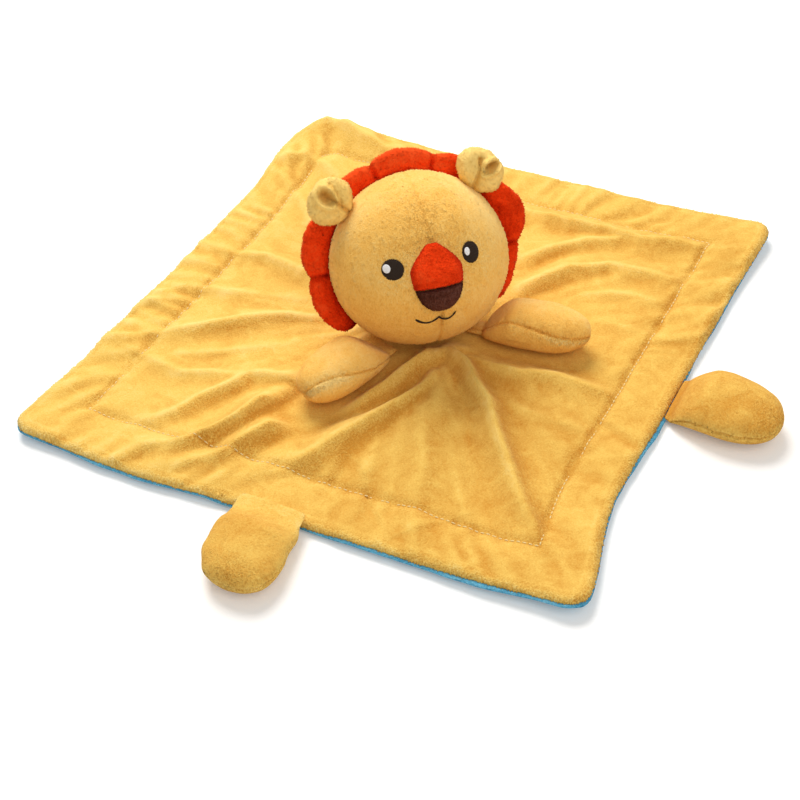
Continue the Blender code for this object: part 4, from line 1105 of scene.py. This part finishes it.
def make_nose_piece(name, material, low, high, top_open, nodes):
    """One padded half of the nose: its back lies on the face and its front stands out."""
    bm, seam, nap = tracked_bmesh()
    for vert, share, turn in closed_web(bm, 44, 72):
        z = mix(low, high, share)
        around = 2 * math.pi * turn
        x = nose_half_width(z) * -math.cos(around)
        crown = max(nose_crown(z), 0.0)
        front = max(math.sin(around), 0.0) ** 0.95
        split = (high - z) if top_open else (z - low)
        split_pull = bell(split, 0.0008) * 0.35
        round_end = quarter_round(min(share / 0.10 if top_open else (1 - share) / 0.06, 1.0))
        off = SEAM_GAP + crown * front * round_end * (1 - split_pull)
        place = Vector((x * mix(0.55, 1.0, round_end), 0.0, z))
        off += (0.00060 * rough(place, 0.006, 9.0) + 0.00030 * rough(place, 0.0018, 3.0)) * front
        place.y = -face_front(place.x, z) - off + 0.0006
        vert.co = HEAD_PLACE @ place
        # painted shade round the edge where the nose meets the face, darker along the split between bridge and tip,
        # and the bridge's pile deeper and the tip's paler overall
        border = bell(1 - abs(math.cos(around)), 0.12)
        vert[seam] = min(1.0, 0.8 * border + 1.2 * split_pull) + (0.26 if top_open else -0.20)
        vert[nap] = 0.18
    raise_pile(bm, seam, nap, NOSE_TUFT, lambda brushed: 0.35, 11)
    piece = add_piece(name, bm, material, "head", nodes)


def face_patch(name, material, middle, spread, lift, thickness, nodes):
    """A round of satin stitch that lies on the face, thickest in its middle."""
    bm = tracked_bmesh()[0]
    bmesh.ops.create_uvsphere(bm, u_segments=64, v_segments=24, radius=1.0)
    for vert in bm.verts:
        flat = Vector((vert.co.x, vert.co.y))
        turn = math.atan2(flat.y, flat.x)
        ragged = 1 + 0.025 * math.sin(turn * 31) + 0.03 * rays(turn, 2, 4.0)
        x = middle[0] + spread[0] * flat.x * ragged
        z = middle[1] + spread[1] * flat.y * ragged
        off = lift + thickness * (vert.co.z if vert.co.z > 0 else vert.co.z * 0.3)
        vert.co = HEAD_PLACE @ Vector((x, -face_front(x, z) - off, z))
    return add_piece(name, bm, material, "head", nodes)


def make_mouth_line():
    """A smile of two scallops in satin stitch, heavier at its left end."""
    bm = tracked_bmesh()[0]
    for vert, share, turn in closed_web(bm, 160, 14):
        across = 2 * share - 1
        around = 2 * math.pi * turn

        def line(spot):
            x = -0.0020 + (0.0125 if spot < 0 else 0.0098) * spot
            scallop = abs(math.sin(math.pi * spot)) ** 0.8
            return Vector((x, 0.0, -0.0276 - 0.0026 * scallop + 0.0010 * abs(spot) ** 3))

        here = line(across)
        run = (line(min(across + 0.01, 1.0)) - line(max(across - 0.01, -1.0))).normalized()
        side = Vector((-run.z, 0.0, run.x))
        end = math.sqrt(max(0.0, 1 - max(0.0, abs(across) * 1.04 - 0.04) ** 24))
        radius = 0.00054 * end * (1 + 0.35 * smooth((-across - 0.55) / 0.4)) * (1 + 0.08 * math.sin(share * 260))
        place = here + side * (radius * math.cos(around))
        off = 0.00015 + radius * 0.8 * math.sin(around)
        place.y = -face_front(place.x, place.z) - off
        vert.co = HEAD_PLACE @ place
    return add_piece("mouth_line", bm, "dark_satin", "head", ("mouth_stitch",))


# Arms and feet, each in its own frame: X along it, Y across, Z up, and the origin on its hinge

# rim is how strong the painted highlight is along the edge beside the sewn line
LimbLook = namedtuple("LimbLook", "half_thickness full_share toe_power toe_share viewer root_turn toe_turn tab rim")
LIMB_LOOKS = {
    "arm_left": LimbLook(0.0134, 0.46, 2.5, 0.52, 1, math.radians(-4), math.radians(56), 0.0, 0.35),
    "arm_right": LimbLook(0.0134, 0.42, 2.4, 0.52, -1, math.radians(46), math.radians(22), 0.0, 0.20),
    "foot_left": LimbLook(0.0104, 0.34, 2.8, 0.46, 1, 0.0, 0.0, 0.0075, 1.00),
    "foot_right": LimbLook(0.0114, 0.36, 2.3, 0.44, -1, math.radians(4), math.radians(6), 0.0, 1.10),
}
TAB_HEIGHT = 0.0060
TAB_HALF_THICKNESS = 0.0024
TAB_WIDTH_SHARE = 1.13


def turned_by(joint, degrees):
    """The movement of a joint by an angle."""
    place = Matrix.Translation(JOINTS[joint]["pos_m"])
    return place @ Matrix.Rotation(math.radians(degrees), 4, Vector(JOINTS[joint]["axis"])) @ place.inverted()


NODDED_HEAD_FRAME = (turned_by("neck_nod", 3) @ HEAD_PLACE).inverted()


def head_overlap(spot, clearance):
    """How far a place comes within a clearance of the head when that nods forward."""
    here = NODDED_HEAD_FRAME @ spot
    near = math.sqrt((here.x / (HEAD_HALF_WIDTH * cheek(here.z))) ** 2 + (here.y / HEAD_HALF_DEPTH) ** 2
                     + (here.z / HEAD_HALF_HEIGHT) ** 2)
    overlap = clearance - here.length * (1 - 1 / near)
    return 0.5 * (overlap + math.hypot(overlap, 0.0030))


def limb_tone(word, side, upward):
    """How much darker an arm or foot is painted than the blanket: painted highlights on the left arm where it faces
    up, painted shade on the right arm with a painted highlight toward its upper far side, and the feet darker, the
    right one more.
    """
    if word == "arm_left":
        return -0.10 * max(upward, 0.0)
    if word == "arm_right":
        return 0.26 - 0.70 * smooth(0.9 * (side + upward) - 0.25)
    return 0.40 if word == "foot_left" else 0.66


def make_limb(word):
    """A stuffed pod from its sewn root to its round toe, with the pile parted along where it is sewn, and painted
    shade and painted highlights on it.
    """
    sizes = bpy.context.scene.lovey_sizes
    limb = LIMBS[word]
    look = LIMB_LOOKS[word]
    seed = {"arm_left": 1.0, "arm_right": 2.0, "foot_left": 3.0, "foot_right": 4.0}[word]
    is_arm = word.startswith("arm")
    bm, seam, nap = tracked_bmesh()
    root = TAB_HALF_THICKNESS if look.tab else limb.base_radius
    start = max(root, look.tab)
    lifted = turned_by(word + "_lift", 6) @ limb.place
    for vert, share, turn in closed_web(bm, 116, 132):
        around = 2 * math.pi * turn
        run = math.sin(math.pi / 2 * share) * (limb.length + start) - start
        reach = max(run, 0.0) / limb.length
        past_edge = max(run - (0.002 if look.tab else 0.0), 0.0) / limb.length
        grown = math.sin(math.pi / 2 * min(past_edge / look.full_share, 1.0)) ** 0.85
        if is_arm:
            bulge_start = 0.0050 if word == "arm_left" else 0.0075
            bulge = min(max((run - bulge_start) / (look.full_share * limb.length), 0.0), 1.0)
            grown = (1 - (1 - bulge) ** 2.6) ** 0.58
        base_share = 0.55 if is_arm else TAB_WIDTH_SHARE if look.tab else 1.0
        half_width = mix(limb.base_half_width * base_share, limb.half_width, grown)
        half_thick = mix(root, look.half_thickness, grown)
        lying = max(0.0, half_thick - limb.axis_height - REST_CUT)
        if look.tab:
            lying = mix(TAB_HEIGHT, lying, smooth((run - 0.001) / 0.014))
        toe = max(0.0, (reach - look.toe_share) / (1 - look.toe_share))
        rounding = max(0.0, 1 - toe ** look.toe_power) ** (1 / look.toe_power)
        closing = quarter_round(min((run + start) / root, 1.0))
        half_width *= mix(0.90, 1.0, math.sqrt(min(1.0, (run + start) / 0.004)))
        half_thick *= closing
        side = math.cos(around)
        upward = math.sin(around)
        height = lying + half_thick * rounding * upward
        place = Vector((run, limb.slant * run + half_width * rounding * side, max(height, -limb.axis_height)))
        seam_turn = mix(look.root_turn, look.toe_turn, smooth((reach - 0.25) / 0.75))
        seam_angle = seam_turn if look.viewer > 0 else math.pi - seam_turn
        girth = math.sqrt(max(half_width * half_thick, 0.0)) * rounding
        below = look.viewer * math.sin(seam_angle - around) * girth
        facing = smooth(math.cos(around - seam_angle) * 2)
        seam_near = bell(below, 0.0008)
        seam_wide = bell(below, 0.0034)
        outward = Vector((0.35 * smooth((reach - 0.6) / 0.4), side, upward * 1.3)).normalized()
        off = -sizes.seam_depth * (1.0 * seam_near + 0.5 * seam_wide)
        gathers = math.sin(run / 0.0019 + 4.0 * rough(place, 0.012, seed))
        off += 0.00035 * gathers * seam_wide
        off += 0.0009 * rough(place, 0.016, seed * 5) + 0.00035 * rough(place, 0.006, seed * 7)
        if upward < 0:
            off = min(off, 0.0)
        if run > 0.003:
            place += outward * off * min(1.0, rounding * 2) * smooth(reach * 8)
        if not look.tab or run > 0.003:
            place.z = max(place.z, -limb.axis_height)
        if is_arm:
            pushed = head_overlap(lifted @ place, 0.0042) * smooth(place.z / 0.006)
            place.z -= 1.15 * pushed
        vert.co = limb.place @ place
        toe_end = smooth((reach - 0.55) / 0.25)
        band = bell(below - 0.0026, 0.0024) * facing * (toe_end if is_arm else 0.0)
        # a painted highlight along the edge beside the sewn line
        rim = bell(below, 0.0036) * look.rim
        # darker along the sewn line: its pressed pile and painted shade in its groove
        dark = 0.75 * seam_near * (facing if is_arm else 0.25)
        # painted shade at the root of an arm or foot, and a painted highlight at the root of a tab
        dark += (-0.35 if look.tab else 0.35 if is_arm else 0.5) * bell(reach, 0.14 if look.tab else 0.05)
        # painted light where an arm is pushed under the head, against the shade that falls there
        if is_arm:
            dark -= 0.80 * smooth(pushed / 0.004)
        patch = smooth((reach - 0.66) / 0.2) * (0.0 if is_arm else bell(side * 0.7 - 0.1 * look.viewer, 0.6))
        vert[seam] = max(-1.0, min(1.0, dark + 0.25 * patch - 0.75 * band - 0.55 * rim * (1 - seam_near * 0.6)))
        # each limb's painted shade and highlights
        vert[seam] += limb_tone(word, side, upward)
        vert[nap] = min(1.0, 0.06 + 0.35 * seam_wide + 0.9 * band + 0.4 * patch)
    soft = {"arm": ("_upper", "_under", "_filling"), "foot": ("_upper", "_sole", "_filling")}[word.split("_")[0]]
    bend_runs = (0.0, 0.012) if look.tab else (-0.002, 0.008)
    bend = ("blanket", word, *(limb.place @ Vector((run, 0.0, 0.0)) for run in bend_runs))
    raise_pile(bm, seam, nap, LIMB_TUFT, lambda brushed: 0.04 + 0.45 * brushed, int(seed) + 20)
    piece = add_piece(word + "_pad", bm, "stuffed_pile" if is_arm else "golden_pile", bend,
                      tuple(word + end for end in soft))


# Operators

class LOVEY_OT_blanket(bpy.types.Operator):
    """Lay the yellow top and the blue backing, with their folds and topstitching"""
    bl_idname = "lovey.blanket"
    bl_label = "Blanket"

    def execute(self, context):
        cells = context.scene.lovey_sizes.blanket_cells
        make_sheet("blanket_plush_top", cells, top_wander, top_faces, "golden_pile", "blanket_top")
        make_sheet("blanket_plush_backing", cells // 2, backing_wander, backing_faces, "blue_pile",
                   "blanket_backing")
        make_topstitch()
        return {"FINISHED"}


class LOVEY_OT_head(bpy.types.Operator):
    """Cover the stuffed head"""
    bl_idname = "lovey.head"
    bl_label = "Head"

    def execute(self, context):
        make_head_cover()
        return {"FINISHED"}


class LOVEY_OT_mane(bpy.types.Operator):
    """Sew the scalloped mane round the head"""
    bl_idname = "lovey.mane"
    bl_label = "Mane"

    def execute(self, context):
        make_mane_ring()
        return {"FINISHED"}


class LOVEY_OT_ears(bpy.types.Operator):
    """Roll the two ears"""
    bl_idname = "lovey.ears"
    bl_label = "Ears"

    def execute(self, context):
        for side, word in ((-1, "left"), (1, "right")):
            make_ear(word, side)
        return {"FINISHED"}


class LOVEY_OT_nose(bpy.types.Operator):
    """Pad the nose's red bridge and brown tip"""
    bl_idname = "lovey.nose"
    bl_label = "Nose"

    def execute(self, context):
        make_nose_piece("nose_bridge_pad", "red_pile", NOSE_TOP, NOSE_SPLIT + SEAM_GAP / 2, True,
                        ("nose_bridge", "nose_filling"))
        make_nose_piece("nose_tip_pad", "brown_pile", NOSE_SPLIT - SEAM_GAP / 2, NOSE_BOTTOM, False,
                        ("nose_tip",))
        return {"FINISHED"}


class LOVEY_OT_eyes(bpy.types.Operator):
    """Embroider the eyes with their glints"""
    bl_idname = "lovey.eyes"
    bl_label = "Eyes"

    def execute(self, context):
        for word, (middle, spread, glint, glint_spread) in EYES.items():
            face_patch("eye_%s_satin" % word, "dark_satin", middle, spread, 0.0002, 0.0009,
                       ("eye_" + word,))
            face_patch("eye_%s_glint" % word, "white_satin", glint, glint_spread, 0.0010, 0.0005,
                       ("eye_glint_" + word,))
        return {"FINISHED"}


class LOVEY_OT_mouth(bpy.types.Operator):
    """Stitch the mouth"""
    bl_idname = "lovey.mouth"
    bl_label = "Mouth"

    def execute(self, context):
        make_mouth_line()
        return {"FINISHED"}


class LOVEY_OT_arms(bpy.types.Operator):
    """Stuff the two arms"""
    bl_idname = "lovey.arms"
    bl_label = "Arms"

    def execute(self, context):
        for word in ("arm_left", "arm_right"):
            make_limb(word)
        return {"FINISHED"}


class LOVEY_OT_feet(bpy.types.Operator):
    """Stuff the two feet"""
    bl_idname = "lovey.feet"
    bl_label = "Feet"

    def execute(self, context):
        for word in ("foot_left", "foot_right"):
            make_limb(word)
        return {"FINISHED"}


CAMERA_TARGET = Vector((-0.02765, -0.05602, 0.0))
CAMERA_AZIMUTH = math.radians(-14.283)
CAMERA_ELEVATION = math.radians(42.171)
CAMERA_ROLL = math.radians(-5.239)
CAMERA_DISTANCE = 0.80777
CAMERA_LENS = 65.25


def add_lamp(name, place, target, size, power, tint):
    data = bpy.data.lights.new(name, "AREA")
    data.shape = "DISK"
    data.size = size
    data.energy = power
    data.color = tint
    lamp = bpy.data.objects.new(name, data)
    bpy.context.scene.collection.objects.link(lamp)
    lamp.location = place
    lamp.rotation_euler = (Vector(target) - Vector(place)).to_track_quat("-Z", "Y").to_euler()


class LOVEY_OT_stage(bpy.types.Operator):
    """Set the pale floor, the soft light and the camera"""
    bl_idname = "lovey.stage"
    bl_label = "Stage"

    def execute(self, context):
        scene = context.scene
        bm = bmesh.new()
        bmesh.ops.create_grid(bm, x_segments=1, y_segments=1, size=4.0)
        mesh = bpy.data.meshes.new("floor")
        bm.to_mesh(mesh)
        bm.free()
        floor = bpy.data.objects.new("floor", mesh)
        scene.collection.objects.link(floor)
        floor.location.z = -0.0002
        paint = bpy.data.materials.new("floor_paper")
        paint.use_nodes = True
        tree = paint.node_tree
        shader = tree.nodes["Principled BSDF"]
        shader.inputs["Base Color"].default_value = (*scene.lovey_colours.floor, 1.0)
        shader.inputs["Roughness"].default_value = 1.0
        shader.inputs["Specular IOR Level"].default_value = 0.0
        seen = tree.nodes.new("ShaderNodeLightPath")
        glow = add_sum(tree, seen.outputs["Is Camera Ray"], 0.14, "MULTIPLY")
        shader.inputs["Emission Color"].default_value = (1.0, 1.0, 1.0, 1.0)
        link(tree, glow, shader.inputs["Emission Strength"])
        mesh.materials.append(paint)
        world = scene.world or bpy.data.worlds.new("studio")
        scene.world = world
        world.use_nodes = True
        world.node_tree.nodes["Background"].inputs["Color"].default_value = (1.0, 0.98, 0.95, 1.0)
        world.node_tree.nodes["Background"].inputs["Strength"].default_value = 0.43
        add_lamp("window", (0.05, 1.20, 1.50), (0.0, 0.0, 0.0), 1.3, 40.0, (1.0, 0.985, 0.96))
        add_lamp("fill", (0.3, -1.2, 1.3), (0.0, 0.0, 0.0), 1.4, 9.8, (1.0, 0.95, 0.88))
        data = bpy.data.cameras.new("camera")
        data.lens = CAMERA_LENS
        data.sensor_width = 36.0
        data.clip_start = 0.01
        camera = bpy.data.objects.new("camera", data)
        scene.collection.objects.link(camera)
        back = Vector((math.sin(CAMERA_AZIMUTH) * math.cos(CAMERA_ELEVATION),
                       -math.cos(CAMERA_AZIMUTH) * math.cos(CAMERA_ELEVATION), math.sin(CAMERA_ELEVATION)))
        right = Vector((0.0, 0.0, 1.0)).cross(back).normalized()
        up = back.cross(right)
        rolled_right = right * math.cos(CAMERA_ROLL) + up * math.sin(CAMERA_ROLL)
        rolled_up = up * math.cos(CAMERA_ROLL) - right * math.sin(CAMERA_ROLL)
        turned = Matrix((rolled_right, rolled_up, back)).transposed().to_4x4()
        turned.translation = CAMERA_TARGET + back * CAMERA_DISTANCE
        camera.matrix_world = turned
        scene.camera = camera
        scene.view_settings.view_transform = "Standard"
        return {"FINISHED"}


STEPS = (LOVEY_OT_stage, LOVEY_OT_blanket, LOVEY_OT_head, LOVEY_OT_mane, LOVEY_OT_ears, LOVEY_OT_nose,
         LOVEY_OT_eyes, LOVEY_OT_mouth, LOVEY_OT_arms, LOVEY_OT_feet)


class LOVEY_PT_panel(bpy.types.Panel):
    """Sizes, colours and steps of the lovey"""
    bl_label = "Lovey"
    bl_space_type = "VIEW_3D"
    bl_region_type = "UI"
    bl_category = "Lovey"

    def draw(self, context):
        for group in (context.scene.lovey_sizes, context.scene.lovey_colours):
            column = self.layout.column()
            for name in group.__annotations__:
                column.prop(group, name)
        for step in STEPS:
            self.layout.operator(step.bl_idname)


CLASSES = (LoveySizes, LoveyColours, *STEPS, LOVEY_PT_panel)


def register():
    for item in CLASSES:
        bpy.utils.register_class(item)
    bpy.types.Scene.lovey_sizes = PointerProperty(type=LoveySizes)
    bpy.types.Scene.lovey_colours = PointerProperty(type=LoveyColours)


def unregister():
    del bpy.types.Scene.lovey_colours
    del bpy.types.Scene.lovey_sizes
    for item in reversed(CLASSES):
        bpy.utils.unregister_class(item)


def main():
    register()
    for step in STEPS:
        family, name = step.bl_idname.split(".")
        getattr(getattr(bpy.ops, family), name)()


if __name__ == "__main__":
    main()
